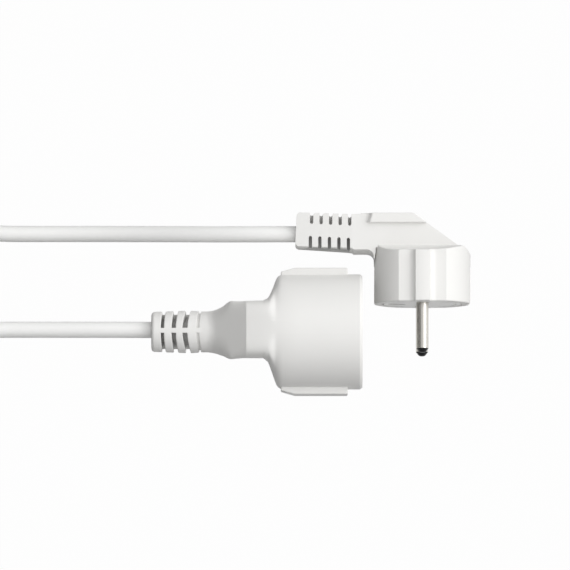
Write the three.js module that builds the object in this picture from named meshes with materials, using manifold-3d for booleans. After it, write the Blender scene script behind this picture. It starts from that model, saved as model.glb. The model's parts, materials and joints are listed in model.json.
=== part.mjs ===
// A moulded extension cord, lying flat: an angled plug, an inline socket and the cord between them.
// Millimetres, +Z up. X runs along the coupling, from its cord end to its mouth. The plug's pins point to -Y.
// The origin is on the surface that the cord lies on, under the middle of plug and coupling.
import * as THREE from "three";
import { mergeVertices } from "three/addons/utils/BufferGeometryUtils.js";
import Module from "manifold-3d";

const wasm = await Module();
wasm.setup();

// Driving sizes of the whole
const mouthToDrum = 4.5;
const ridgeToHandle = 6.46;
const cordDiameter = 6.4;
const pinDiameter = 4.8;
const pinSpacing = 19;
const pinReach = 19.8;
const seatGap = 0.3;
const snugGap = 0.05;
const overrun = 1;
const weldDistance = 1e-3;
const arcPoints = 4;

// Driving sizes of the coupling, whose axis runs from the cord end
const coupling = {
  cupWall: 1.74,
  rimInset: 1.34,
  rimRound: 1.8,
  tailRadius: 7.85,
  tailRound: 0.9,
  tailRoundDepth: 0.95,
  ribRadius: 8.4,
  ribsPeakAt: 13.7,
  collarStart: 19.2,
  collarRadius: 8.05,
  collarEnd: 22.2,
  flareRun: 13.2,
  shoulderRun: 14.7,
  shoulderHeight: 20,
  neckHalfWidth: 10.35,
  neckRun: 7.1,
  neckEndHeight: 21.3,
  neckPower: 5,
  sideDraft: 0.084,
  cupRun: 9,
  cupLength: 30,
  ridgeRise: 2.33,
  ridgeLead: 2.1,
  ridgeStartDrop: 1.57,
  ridgeSlope: 5.5,
  ridgeInset: 6.5,
  ridgeHalfHeight: 4.7,
  ridgeRootShare: 0.955,
  cordOffset: 0.75,
  sectionPoints: 40,
};

// Grooves of the coupling's strain relief
const tailGroove = {
  first: 4.7,
  pitch: 4.53,
  width: 1.5,
  shallowWidth: 0.8,
  count: 3,
  floorRadius: 4.4,
  sideDepth: 1.1,
  spineWidth: 2,
  sideWebWidth: 3.2,
};

// The recess and what is behind its floor
const recess = {
  radius: 19.5,
  depth: 17.5,
  liningWall: 1.1,
  liningSetBack: 0.4,
  floorWall: 2,
  floorStep: 1,
  chamberDepth: 5,
  skirtWall: 1.2,
  contactHoleRadius: 3,
  armSlotHalfWidth: 3.4,
  armSlotReach: 14.5,
  armSlotDepth: 2.1,
  guideRibPlace: 6,
  guideRibWidth: 2,
  guideRibRise: 2.5,
  segments: 48,
};
const carrier = { thickness: 5.5, pinSocketDepth: 3.2 };
const contact = {
  wall: 0.8,
  pinPlay: 0.1,
  length: 15.4,
  frontGap: 0.5,
  mouthFlare: 0.15,
  floorDepth: 1.5,
  tailRadius: 1.6,
  tailLength: 3,
  slitWidth: 0.6,
  slitLength: 10.5,
  segments: 20,
};
const shutter = {
  thickness: 1.6,
  hubRadius: 3.4,
  hubLength: 1.6,
  axleRadius: 1.5,
  wingRadius: 13.4,
  wingHalfAngle: THREE.MathUtils.degToRad(21.5),
  springWire: 0.4,
  springRadius: 2.6,
  springTurns: 1.25,
  springStepsPerTurn: 12,
  springSides: 5,
};
const earthBow = {
  thickness: 0.6,
  width: 5,
  rootInset: 1.2,
  slotInset: 1,
  bulgeInset: 2,
  bulgeRise: 6.5,
  tipRise: 13,
};
const couplingWires = {
  radius: 1.1,
  bundleRadius: 1.45,
  run: 6.7,
  chamberOverlap: 0.8,
  chamberHalfWidth: 4.2,
  earthSideHalfWidth: 7.9,
  chamberHalfHeight: 13.2,
  earthPlace: 6,
  boreWall: 0.5,
  sides: 8,
  steps: 8,
};

// Driving sizes of the plug, from the middle of its pin face; its pins point to -Y
const plug = {
  drumRadius: 19.05,
  faceRound: 0.8,
  slabHalfThickness: 7.5,
  ledgeRise: 0.1,
  ledgeSlope: 0.29,
  flatHeight: 16.6,
  guideRibWidth: 5.4,
  guideRibFoot: 2.8,
  noseStart: -2.99,
  noseEnd: 14.6,
  noseEndHeight: 22.4,
  shoulderDrop: 2.6,
  backHeight: 35.1,
  handleEnd: -49.93,
  handleRise: 0.67,
  handleDepth: 13.42,
  handleRound: 1.5,
  handleRootX: -27.6,
  handleRootDepth: 14.15,
  stepX: -27,
  stepDepth: 14.83,
  throatX: -18.6,
  throatRadius: 3,
  throatDrop: 2.27,
  rootDrop: 3,
  cordDrop: 1.36,
  drumSegments: 60,
};
const gripPlate = {
  halfThickness: 9.7,
  left: -20.24,
  rise: 0.35,
  depth: 3.8,
  right: 1.09,
  footReach: 3.16,
};
const handleSlot = {
  count: 5,
  pitch: 3.74,
  firstX: -43.86,
  width: 1.26,
  floor: 3.7,
  webHalfHeight: 2.38,
  upperShift: 0.35,
  lowerShift: -0.15,
  notchDepth: 0.9,
};
const bridge = {
  radius: 15.3,
  thickness: 6,
  pinCollarRadius: 3.4,
  pinCollarLength: 1,
  pinTailLength: 6.5,
  boreRadius: 1.6,
  boreEnd: 6,
  spigotRadius: 1.3,
  spigotLength: 5,
  tipLength: 1.6,
  tipStraight: 0.5,
  tipFlatRadius: 0.8,
  pinSegments: 24,
};
const plugEarth = {
  thickness: 0.6,
  width: 5.2,
  stripReach: 18.9,
  stripFoot: 0.6,
  barHeight: 14.5,
  socketPlace: -10,
  socketRadius: 3.1,
  socketBore: 2.5,
  socketFoot: 1,
  socketCap: 1.2,
};
const plugHollow = {
  chamberRadius: 13.4,
  chamberTop: 17.5,
  riserLeft: -12,
  riserRight: 3,
  riserHead: 2.5,
  riserHalfWidth: 5.2,
};

// The coil of cord just past the left edge of the view, in four layers, with two ties
const coil = {
  centre: [-180, 9.7],
  outerRadius: 41.5,
  turns: 7.5,
  layers: 4,
  ringPitch: 6.95,
  layerPitch: 6.85,
  stepsPerTurn: 24,
  sides: 6,
  liftOverTies: 1.1,
  climbTurns: 0.5,
};
const tie = { thickness: 0.8, width: 8, cornerRadius: 1.5 };

// Hand-chosen route points of the two free stretches
const plugRoute = [
  [-6.5, 27.88, 19.2],
  [-14, 27.88, 19.1],
  [-24, 27.92, 18.4],
  [-35, 28.05, 16.6],
  [-47, 28.35, 13.7],
  [-59, 28.7, 10.3],
  [-71, 29, 7.2],
  [-83, 29.22, 5],
  [-96, 29.33, 3.75],
  [-110, 29.35, 3.45],
  [-124, 29.35, 3.45],
  [-132.2, 30.65, 3.55],
  [-139.6, 34.41, 3.7],
  [-145.4, 40.27, 3.85],
  [-151.3, 46.14, 4.02],
  [-158.7, 49.9, 4.2],
  [-166.9, 51.2, 4.3],
  [-173.3, 51.2, 4.3],
];
const couplingRoute = [
  [-63.1, -10.2, 22.64],
  [-70, -10.17, 22.6],
  [-80, -10.1, 22.3],
  [-92, -10.05, 21.7],
  [-105, -10, 21.2],
  [-118, -10, 21.1],
  [-124, -10, 21.3],
  [-132.2, -11.3, 22],
  [-139.6, -15.06, 22.8],
  [-145.4, -20.92, 23.5],
  [-151.3, -26.74, 24.1],
  [-158.7, -30.5, 24.6],
  [-166.9, -31.8, 24.85],
  [-173.3, -31.8, 24.85],
];
const freeCord = { sides: 10, steps: 34 };

const cordRadius = cordDiameter / 2;
const pinRadius = pinDiameter / 2;
const pinPlace = pinSpacing / 2;

// Boolean helpers: geometry becomes a closed solid, and a solid becomes geometry again
function solid(geometry) {
  const loose = geometry.index ? geometry.toNonIndexed() : geometry.clone();
  loose.deleteAttribute("normal");
  loose.deleteAttribute("uv");
  const merged = mergeVertices(loose, weldDistance);
  const corners = merged.index.array;
  const kept = [];
  for (let i = 0; i < corners.length; i += 3) {
    const [a, b, c] = [corners[i], corners[i + 1], corners[i + 2]];
    if (a !== b && b !== c && c !== a) kept.push(a, b, c);
  }
  return new wasm.Manifold(
    new wasm.Mesh({
      numProp: 3,
      vertProperties: merged.attributes.position.array,
      triVerts: new Uint32Array(kept),
    }),
  );
}

function join(...geometries) {
  return geometries.map(solid).reduce((whole, piece) => whole.add(piece));
}

function cut(whole, ...geometries) {
  return geometries.reduce((left, tool) => left.subtract(solid(tool)), whole);
}

function geometryOf(made) {
  const mesh = made.getMesh();
  const geometry = new THREE.BufferGeometry();
  geometry.setAttribute(
    "position",
    new THREE.BufferAttribute(mesh.vertProperties, 3),
  );
  geometry.setIndex(new THREE.BufferAttribute(mesh.triVerts, 1));
  geometry.computeVertexNormals();
  return geometry;
}

// Shapes placed by their ends or corners
function block(low, high) {
  const size = high.map((value, axis) => value - low[axis]);
  const middle = high.map((value, axis) => (value + low[axis]) / 2);
  return new THREE.BoxGeometry(...size).translate(...middle);
}

function rodAlongX(radius, start, end, y, z, segments) {
  return new THREE.CylinderGeometry(radius, radius, end - start, segments)
    .rotateZ(-Math.PI / 2)
    .translate((start + end) / 2, y, z);
}

function rodAlongY(radius, start, end, x, z, segments) {
  return new THREE.CylinderGeometry(
    radius,
    radius,
    end - start,
    segments,
  ).translate(x, (start + end) / 2, z);
}

// A profile of [place, radius] pairs turned about the X axis, or about the Y axis
function turnedAboutX(profile, segments) {
  return turnedAboutY(profile, segments).rotateZ(-Math.PI / 2);
}

function turnedAboutY(profile, segments) {
  const points = profile.map(
    ([place, radius]) => new THREE.Vector2(radius, place),
  );
  return new THREE.LatheGeometry(points, segments);
}

// An outline of [x, y] pairs or a Shape, extruded along Z
function prism(outline, low, high) {
  const shape = !Array.isArray(outline)
    ? outline
    : new THREE.Shape(outline.map(([x, y]) => new THREE.Vector2(x, y)));
  return new THREE.ExtrudeGeometry(shape, {
    depth: high - low,
    bevelEnabled: false,
    curveSegments: arcPoints,
  }).translate(0, 0, low);
}

// Turns of a prism's axes: outline in YZ run along X, and outline in XZ run along Y
const alongX = new THREE.Matrix4().makeBasis(
  new THREE.Vector3(0, 1, 0),
  new THREE.Vector3(0, 0, 1),
  new THREE.Vector3(1, 0, 0),
);
const alongMinusY = new THREE.Matrix4().makeBasis(
  new THREE.Vector3(1, 0, 0),
  new THREE.Vector3(0, 0, 1),
  new THREE.Vector3(0, -1, 0),
);

function tubeAlong(points, radius, sides, steps) {
  const curve = new THREE.CatmullRomCurve3(
    points.map((point) => new THREE.Vector3(...point)),
    false,
    "centripetal",
  );
  const section = new THREE.Shape();
  for (let i = 0; i < sides; i += 1) {
    const angle = (2 * Math.PI * i) / sides;
    const place = [radius * Math.cos(angle), radius * Math.sin(angle)];
    if (i === 0) section.moveTo(...place);
    else section.lineTo(...place);
  }
  section.closePath();
  return new THREE.ExtrudeGeometry(section, {
    steps,
    bevelEnabled: false,
    extrudePath: curve,
  });
}

// A closed skin over rings of as many points each, with a fan at either end
function skinned(rings) {
  const count = rings[0].length;
  const corners = [];
  const positions = rings.flat().flatMap((point) => point.toArray());
  const last = (rings.length - 1) * count;
  const middleOf = (ring) =>
    ring
      .reduce((sum, point) => sum.add(point), new THREE.Vector3())
      .divideScalar(count);
  const startMiddle = rings.length * count;
  positions.push(...middleOf(rings[0]).toArray());
  positions.push(...middleOf(rings[rings.length - 1]).toArray());
  for (let i = 0; i < count; i += 1) {
    const next = (i + 1) % count;
    for (let ring = 0; ring < last; ring += count) {
      corners.push(ring + i, ring + next, ring + count + next);
      corners.push(ring + i, ring + count + next, ring + count + i);
    }
    corners.push(startMiddle, next, i);
    corners.push(startMiddle + 1, last + i, last + next);
  }
  const geometry = new THREE.BufferGeometry();
  geometry.setAttribute(
    "position",
    new THREE.Float32BufferAttribute(positions, 3),
  );
  geometry.setIndex(corners);
  return geometry;
}

// Materials by what the piece is made of
const finishes = {
  whitePlastic: { color: 0xeceae6, roughness: 0.42, metalness: 0 },
  whiteHardPlastic: { color: 0xe4e4e2, roughness: 0.35, metalness: 0 },
  whiteSheath: { color: 0xe8e8e6, roughness: 0.5, metalness: 0 },
  nickel: { color: 0xb8b4aa, roughness: 0.25, metalness: 1 },
  brass: { color: 0xb9975b, roughness: 0.35, metalness: 1 },
  springSteel: { color: 0x9a9a9a, roughness: 0.35, metalness: 1 },
  blackPlastic: { color: 0x141414, roughness: 0.25, metalness: 0 },
  brownWire: { color: 0x5a3320, roughness: 0.5, metalness: 0 },
  blueWire: { color: 0x2a57a5, roughness: 0.5, metalness: 0 },
  earthWire: { color: 0x7fa032, roughness: 0.5, metalness: 0 },
  blackTie: { color: 0x2a2a2c, roughness: 0.6, metalness: 0 },
};

function piece(name, finish, made) {
  const geometry = made.isBufferGeometry ? geometryOf(solid(made)) : geometryOf(made);
  const mesh = new THREE.Mesh(
    geometry,
    new THREE.MeshStandardMaterial(finishes[finish]),
  );
  mesh.name = name;
  return mesh;
}

// The coupling's runs follow each other, and its cup follows the recess
const flareEnd = coupling.collarEnd + coupling.flareRun;
const shoulderAt = coupling.collarEnd + coupling.shoulderRun;
const neckEnd = shoulderAt + coupling.neckRun;
const cupStart = neckEnd + coupling.cupRun;
const couplingLength = cupStart + coupling.cupLength;
const ridgeStart = cupStart - coupling.ridgeLead;
const liningOuter = recess.radius + recess.liningWall;
const bodyBore = liningOuter + seatGap;
const cupRadius = bodyBore + coupling.cupWall;
const ridgeReach = cupRadius + coupling.ridgeRise;

// The handle and grip plate follow the plug's back, and its ledge follows the nose
const handleTop = plug.backHeight + plug.handleRise;
const handleBottom = handleTop - plug.handleDepth;
const handleRootBottom = plug.backHeight - plug.handleRootDepth;
const stepBottom = plug.backHeight - plug.stepDepth;
const throatFoot = stepBottom - plug.throatRadius - plug.throatDrop;
const rootFoot = throatFoot - plug.rootDrop;
const cordHeight = (handleTop + handleBottom) / 2 - plug.cordDrop;
const ledgeHeight = plug.noseEndHeight + plug.ledgeRise;
const plateTop = plug.backHeight + gripPlate.rise;
const plateBottom = plateTop - gripPlate.depth;

// Sizes of the whole that follow from its pieces
const overallLength = couplingLength + mouthToDrum + 2 * plug.drumRadius;
const overallWidth = 2 * ridgeReach + ridgeToHandle + handleTop - stepBottom;

// Places along the coupling's axis that several pieces share
const recessFloorAt = couplingLength - recess.depth;
const floorStepAt = recessFloorAt - recess.floorStep;
const floorBackAt = recessFloorAt - recess.floorWall;
const chamberBackAt = floorBackAt - recess.chamberDepth;
const carrierBackAt = chamberBackAt - carrier.thickness;
const rotorFrontAt = floorBackAt - seatGap;
const rotorBackAt = rotorFrontAt - shutter.thickness;
const hubBackAt = rotorFrontAt - shutter.hubLength;
const bowFrontAt = chamberBackAt + seatGap + earthBow.thickness;
const contactFrontAt = rotorBackAt - contact.frontGap;
const contactRearAt = contactFrontAt - contact.length;
const contactBore = pinRadius + contact.pinPlay;
const contactOuter = contactBore + contact.wall;
const contactWay = contactOuter + seatGap;
const tailTipAt = contactRearAt - contact.tailLength;
const stubEnd = tailTipAt - couplingWires.run;
const chamberEnd = tailTipAt + couplingWires.chamberOverlap;
const bulgeAt = recessFloorAt + earthBow.bulgeRise;
const tipAt = recessFloorAt + earthBow.tipRise;

// Coupling: growth of the flare, the shoulder's rise and the cup's opening as [place share, size share]
const flareShares = [[0.16, 0.12], [0.31, 0.36], [0.45, 0.66], [0.57, 1], [0.65, 1.14], [0.82, 1.07], [1, 1]];
const shoulderShares = [[0.12, 0.05], [0.22, 0.14], [1, 1]];
const cupStartShares = [[0.12, 0.07], [0.21, 0.13], [0.3, 0.29], [0.47, 0.65]];
const cupShares = [...cupStartShares, [0.56, 0.83], [0.64, 0.92], [0.75, 0.975], [1, 1]];
const rimShares = [[0.45, 0.12], [0.8, 0.45], [1, 1]];
const shoulderStepShares = [0, 0.35, 0.6, 0.8, 1];

function between(table, share) {
  const stops = [[0, 0], ...table];
  const next = stops.findIndex(([place]) => place >= share);
  if (next === 0) return 0;
  const [lowPlace, lowSize] = stops[next - 1];
  const [highPlace, highSize] = stops[next];
  return THREE.MathUtils.mapLinear(share, lowPlace, highPlace, lowSize, highSize);
}

function shareOf(place, start, end) {
  return THREE.MathUtils.clamp((place - start) / (end - start), 0, 1);
}

// Half width, half height, squareness and side draft of the coupling's section at a place on its axis
function couplingSection(place) {
  const c = coupling;
  const tail =
    place < c.ribsPeakAt
      ? THREE.MathUtils.lerp(c.tailRadius, c.ribRadius, shareOf(place, 0, c.ribsPeakAt))
      : THREE.MathUtils.lerp(c.ribRadius, c.collarRadius, shareOf(place, c.ribsPeakAt, c.collarStart));
  const endRound = 1 - shareOf(place, 0, c.tailRound);
  const round = c.tailRoundDepth * (1 - Math.sqrt(1 - endRound * endRound));
  const flare = between(flareShares, shareOf(place, c.collarEnd, flareEnd));
  const rise = between(shoulderShares, shareOf(place, c.collarEnd, shoulderAt));
  const level = shareOf(place, shoulderAt, neckEnd);
  const swell = between(cupShares, shareOf(place, neckEnd, cupStart));
  const neckWidth = THREE.MathUtils.lerp(tail, c.neckHalfWidth, flare);
  const width = THREE.MathUtils.lerp(neckWidth, cupRadius, swell);
  const shoulder = THREE.MathUtils.lerp(tail, c.shoulderHeight, rise);
  const neckHeight = THREE.MathUtils.lerp(shoulder, c.neckEndHeight, level);
  const height = THREE.MathUtils.lerp(neckHeight, cupRadius, swell);
  const rim = between(rimShares, shareOf(place, couplingLength - c.rimRound, couplingLength));
  const inset = round + rim * c.rimInset;
  const squareness = flare * (1 - swell);
  return {
    halfWidth: width - inset,
    halfHeight: height - inset,
    power: THREE.MathUtils.lerp(2, c.neckPower, squareness),
    draft: c.sideDraft * flare * (1 - swell),
  };
}

function couplingRing(place) {
  const { halfWidth, halfHeight, power, draft } = couplingSection(place);
  const bend = (value) => Math.sign(value) * Math.abs(value) ** (2 / power);
  const ring = [];
  for (let i = 0; i < coupling.sectionPoints; i += 1) {
    const angle = (2 * Math.PI * i) / coupling.sectionPoints;
    const z = halfHeight * bend(Math.sin(angle));
    const side = bend(Math.cos(angle));
    ring.push(new THREE.Vector3(place, side * (halfWidth + draft * z), z));
  }
  return ring;
}

// Places of the coupling's rings: its tail, the stations of each share table, and the cup's rim
function couplingPlaces() {
  const c = coupling;
  const spread = (table, start, end) =>
    table.map(([share]) => THREE.MathUtils.lerp(start, end, share));
  const places = [
    0,
    c.tailRound / 3,
    c.tailRound,
    c.ribsPeakAt,
    c.collarStart,
    c.collarEnd,
    ...spread(flareShares, c.collarEnd, flareEnd),
    ...spread(shoulderShares, c.collarEnd, shoulderAt),
    neckEnd,
    ...spread(cupShares, neckEnd, cupStart),
    couplingLength - c.rimRound,
    ...spread(rimShares, couplingLength - c.rimRound, couplingLength),
  ];
  return [...new Set(places)].sort((a, b) => a - b);
}

// The cup's grip ridges on both sides, with a sloping start
function sideRidge(side) {
  const c = coupling;
  const root = cupRadius * c.ridgeRootShare;
  const outline = [
    [ridgeStart, side * root],
    [ridgeStart, side * (ridgeReach - c.ridgeStartDrop)],
    [ridgeStart + c.ridgeSlope, side * ridgeReach],
    [couplingLength - c.ridgeInset, side * ridgeReach],
    [couplingLength - c.ridgeInset, side * root],
  ];
  return prism(outline, -c.ridgeHalfHeight, c.ridgeHalfHeight);
}

// Ring grooves of the strain relief, left whole at the two spines and shallow at the sides
function tailGrooveTool(index) {
  const g = tailGroove;
  const middle = g.first + g.pitch * index;
  const deep = index < g.count;
  const half = (deep ? g.width : g.shallowWidth) / 2;
  const outer = coupling.ribRadius + overrun;
  const sideFloor = coupling.tailRadius - g.sideDepth;
  const floor = deep ? g.floorRadius : sideFloor;
  const ring = solid(
    turnedAboutX(
      [
        [middle - half, floor],
        [middle - half, outer],
        [middle + half, outer],
        [middle + half, floor],
        [middle - half, floor],
      ],
      coupling.sectionPoints,
    ),
  );
  const spine = block(
    [middle - g.width, -g.spineWidth / 2, -outer],
    [middle + g.width, g.spineWidth / 2, outer],
  );
  const web = block(
    [middle - g.width, -sideFloor, -g.sideWebWidth / 2],
    [middle + g.width, sideFloor, g.sideWebWidth / 2],
  );
  return cut(ring, spine, web);
}

// Hollows of the coupling's body for the insert, the contacts, the wires and the cable
function couplingHollows() {
  const w = couplingWires;
  const cableBore = cordRadius + seatGap;
  const hollows = [
    rodAlongX(
      bodyBore,
      carrierBackAt - seatGap,
      couplingLength + overrun,
      0,
      0,
      recess.segments,
    ),
    rodAlongX(
      cableBore,
      -overrun,
      stubEnd + seatGap,
      coupling.cordOffset,
      0,
      contact.segments,
    ),
    block(
      [stubEnd + seatGap - snugGap, -w.chamberHalfWidth, -w.chamberHalfHeight],
      [chamberEnd, w.earthSideHalfWidth, w.chamberHalfHeight],
    ),
    rodAlongX(
      w.radius + w.boreWall,
      chamberEnd - overrun,
      carrierBackAt,
      w.earthPlace,
      0,
      contact.segments,
    ),
  ];
  for (const side of [1, -1])
    hollows.push(
      rodAlongX(
        contactWay,
        tailTipAt,
        carrierBackAt,
        0,
        side * pinPlace,
        contact.segments,
      ),
    );
  return hollows;
}

function makeCouplingBody() {
  const skin = skinned(couplingPlaces().map(couplingRing));
  let body = join(skin, sideRidge(1), sideRidge(-1));
  for (let i = 0; i <= tailGroove.count; i += 1)
    body = body.subtract(tailGrooveTool(i));
  return cut(body, ...couplingHollows());
}

// Rigid insert: the recess floor with contact holes and arm slots, and a skirt behind it
function makeCouplingInsert() {
  const r = recess;
  const skirtInner = liningOuter - r.skirtWall;
  const back = chamberBackAt + seatGap;
  const shell = turnedAboutX(
    [
      [floorBackAt, 0],
      [floorBackAt, skirtInner],
      [back, skirtInner],
      [back, liningOuter],
      [floorStepAt, liningOuter],
      [floorStepAt, r.radius - seatGap],
      [recessFloorAt, r.radius - seatGap],
      [recessFloorAt, 0],
    ],
    r.segments,
  );
  const holes = [1, -1].map((side) =>
    rodAlongX(
      r.contactHoleRadius,
      floorBackAt - overrun,
      recessFloorAt + overrun,
      0,
      side * pinPlace,
      contact.segments,
    ),
  );
  const notches = guideRibs(floorStepAt, recessFloorAt + overrun, seatGap);
  return cut(solid(shell), ...holes, ...armSlots(), ...notches);
}

// The four guide ribs, or their notches in the floor when they are grown by a gap
function guideRibs(back, front, grow) {
  const r = recess;
  const half = r.guideRibWidth / 2 + grow;
  const top = r.radius - r.guideRibRise - grow;
  const root = r.radius - seatGap + grow;
  const ribs = [];
  for (const side of [1, -1])
    for (const place of [r.guideRibPlace, -r.guideRibPlace])
      ribs.push(
        block(
          [back, place - half, Math.min(side * top, side * root)],
          [front, place + half, Math.max(side * top, side * root)],
        ),
      );
  return ribs;
}

// Slots for the earth arms, through the floor and into the lining
function armSlots() {
  const r = recess;
  const inner = r.radius - r.armSlotDepth;
  const outer = liningOuter + overrun;
  return [1, -1].map((side) =>
    block(
      [
        floorBackAt - overrun,
        Math.min(side * inner, side * outer),
        -r.armSlotHalfWidth,
      ],
      [
        recessFloorAt + r.armSlotReach,
        Math.max(side * inner, side * outer),
        r.armSlotHalfWidth,
      ],
    ),
  );
}

// Lining of the recess, with guide ribs for the plug's flats
function makeRecessLining() {
  const r = recess;
  const front = couplingLength - r.liningSetBack;
  const back = floorStepAt + seatGap;
  const ring = turnedAboutX(
    [
      [back, r.radius],
      [back, liningOuter],
      [front, liningOuter],
      [front, r.radius],
      [back, r.radius],
    ],
    r.segments,
  );
  return cut(join(ring, ...guideRibs(back, front, 0)), ...armSlots());
}

function makeContactCarrier() {
  const disc = rodAlongX(
    liningOuter,
    carrierBackAt,
    chamberBackAt,
    0,
    0,
    recess.segments,
  );
  const ways = [1, -1].map((side) =>
    rodAlongX(
      contactWay,
      carrierBackAt - overrun,
      chamberBackAt + overrun,
      0,
      side * pinPlace,
      contact.segments,
    ),
  );
  const axleSocket = rodAlongX(
    shutter.axleRadius + seatGap,
    chamberBackAt - carrier.pinSocketDepth,
    chamberBackAt + overrun,
    0,
    0,
    contact.segments,
  );
  const earthWay = rodAlongX(
    couplingWires.radius + couplingWires.boreWall,
    carrierBackAt - overrun,
    chamberBackAt + overrun,
    couplingWires.earthPlace,
    0,
    contact.segments,
  );
  return cut(solid(disc), ...ways, axleSocket, earthWay);
}

// Slotted sleeve that a plug's pin slides into, with a solid tail for the wire
function makeContact(side) {
  const boreEnd = contactRearAt + contact.floorDepth;
  const sleeve = turnedAboutX(
    [
      [tailTipAt, 0],
      [tailTipAt, contact.tailRadius],
      [contactRearAt, contact.tailRadius],
      [contactRearAt, contactOuter],
      [contactFrontAt, contactOuter],
      [contactFrontAt, contactBore + contact.mouthFlare],
      [boreEnd, contactBore],
      [boreEnd, 0],
    ],
    contact.segments,
  );
  const slit = block(
    [contactFrontAt - contact.slitLength, -contact.slitWidth / 2, -contactWay],
    [contactFrontAt + overrun, contact.slitWidth / 2, contactWay],
  );
  const made = cut(solid(sleeve), slit);
  return geometryOf(made).translate(0, 0, side * pinPlace);
}

// One strip: a bar behind the floor and two arms that bulge into the recess
function makeEarthBow() {
  const b = earthBow;
  const barAt = bowFrontAt - b.thickness;
  const armPlaces = [
    [barAt, recess.radius - b.rootInset],
    [recessFloorAt, recess.radius - b.slotInset],
    [bulgeAt, recess.radius - b.bulgeInset],
    [tipAt, recess.radius],
  ];
  const inside = armPlaces.map(([place, reach]) => [Math.max(place, bowFrontAt), reach - b.thickness]);
  const half = [[bowFrontAt, 0], ...inside, ...armPlaces.reverse()];
  const mirrored = half.map(([x, y]) => [x, -y]).reverse();
  const outline = [...half, ...mirrored.slice(0, -1)];
  const strip = prism(outline, -b.width / 2, b.width / 2);
  const axleHole = rodAlongX(
    shutter.axleRadius + seatGap,
    barAt - overrun,
    bowFrontAt + overrun,
    0,
    0,
    contact.segments,
  );
  return cut(solid(strip), axleHole);
}

// Turning cover: a hub with a wing behind each contact hole
function makeShutterRotor() {
  const hub = rodAlongX(shutter.hubRadius, hubBackAt, rotorFrontAt, 0, 0, contact.segments);
  const wings = [1, -1].map((side) => {
    const wing = new THREE.Shape();
    const middle = (side * Math.PI) / 2;
    const start = middle - shutter.wingHalfAngle;
    const end = middle + shutter.wingHalfAngle;
    wing.moveTo(0, 0);
    wing.lineTo(shutter.wingRadius * Math.cos(start), shutter.wingRadius * Math.sin(start));
    wing.absarc(0, 0, shutter.wingRadius, start, end, false);
    wing.closePath();
    return prism(wing, rotorBackAt, rotorFrontAt).applyMatrix4(alongX);
  });
  const bore = rodAlongX(
    shutter.axleRadius + seatGap,
    hubBackAt - overrun,
    rotorFrontAt + overrun,
    0,
    0,
    contact.segments,
  );
  return cut(join(hub, ...wings), bore);
}

function makeShutterPin() {
  const start = chamberBackAt - carrier.pinSocketDepth + seatGap;
  return rodAlongX(shutter.axleRadius, start, floorBackAt - snugGap, 0, 0, contact.segments);
}

function makeShutterSpring() {
  const steps = shutter.springTurns * shutter.springStepsPerTurn;
  const start = bowFrontAt + seatGap + shutter.springWire / 2;
  const end = hubBackAt - seatGap - shutter.springWire / 2;
  const radius = shutter.springRadius;
  const points = [];
  for (let i = 0; i <= steps; i += 1) {
    const angle = (2 * Math.PI * i) / shutter.springStepsPerTurn;
    const place = THREE.MathUtils.lerp(start, end, i / steps);
    points.push([place, radius * Math.cos(angle), radius * Math.sin(angle)]);
  }
  return tubeAlong(points, shutter.springWire / 2, shutter.springSides, steps);
}

// The three cores, from the cut end of the sheathed cable to their contacts
function couplingWire(route) {
  return tubeAlong(route, couplingWires.radius, couplingWires.sides, couplingWires.steps);
}

function makeCouplingWires() {
  const w = couplingWires;
  const start = stubEnd + seatGap;
  const end = tailTipAt - seatGap;
  const offset = coupling.cordOffset;
  const lift = w.bundleRadius * Math.cos(Math.PI / 6);
  const drop = w.bundleRadius / 2;
  const lead = w.radius;
  const core = (side) =>
    couplingWire([
      [start, offset - drop, side * lift],
      [start + lead, offset - drop, side * lift],
      [end - lead - lead / 2, 0, side * (pinPlace - lead / 2)],
      [end - lead, 0, side * pinPlace],
      [end, 0, side * pinPlace],
    ]);
  const earth = couplingWire([
    [start, offset + w.bundleRadius, 0],
    [start + lead, offset + w.bundleRadius, 0],
    [end, w.earthPlace, 0],
    [carrierBackAt, w.earthPlace, 0],
    [chamberBackAt, w.earthPlace, 0],
  ]);
  return [core(1), core(-1), earth];
}

function makeCoupling() {
  const group = new THREE.Group();
  const [brown, blue, earth] = makeCouplingWires();
  const stub = rodAlongX(
    cordRadius,
    0,
    stubEnd,
    coupling.cordOffset,
    0,
    contact.segments,
  );
  group.add(
    piece("coupling_body", "whitePlastic", makeCouplingBody()),
    piece("coupling_insert", "whiteHardPlastic", makeCouplingInsert()),
    piece("recess_lining", "whiteHardPlastic", makeRecessLining()),
    piece("contact_carrier", "whiteHardPlastic", makeContactCarrier()),
    piece("live_contact", "brass", makeContact(1)),
    piece("neutral_contact", "brass", makeContact(-1)),
    piece("earth_bow", "nickel", makeEarthBow()),
    piece("shutter_rotor", "whiteHardPlastic", makeShutterRotor()),
    piece("shutter_pin", "springSteel", makeShutterPin()),
    piece("shutter_spring", "springSteel", makeShutterSpring()),
    piece("coupling_wire_brown", "brownWire", brown),
    piece("coupling_wire_blue", "blueWire", blue),
    piece("coupling_wire_earth", "earthWire", earth),
    piece("coupling_cable_stub", "whiteSheath", stub),
  );
  group.position.set(
    -overallLength / 2,
    ridgeReach - overallWidth / 2,
    cupRadius,
  );
  return group;
}

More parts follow.
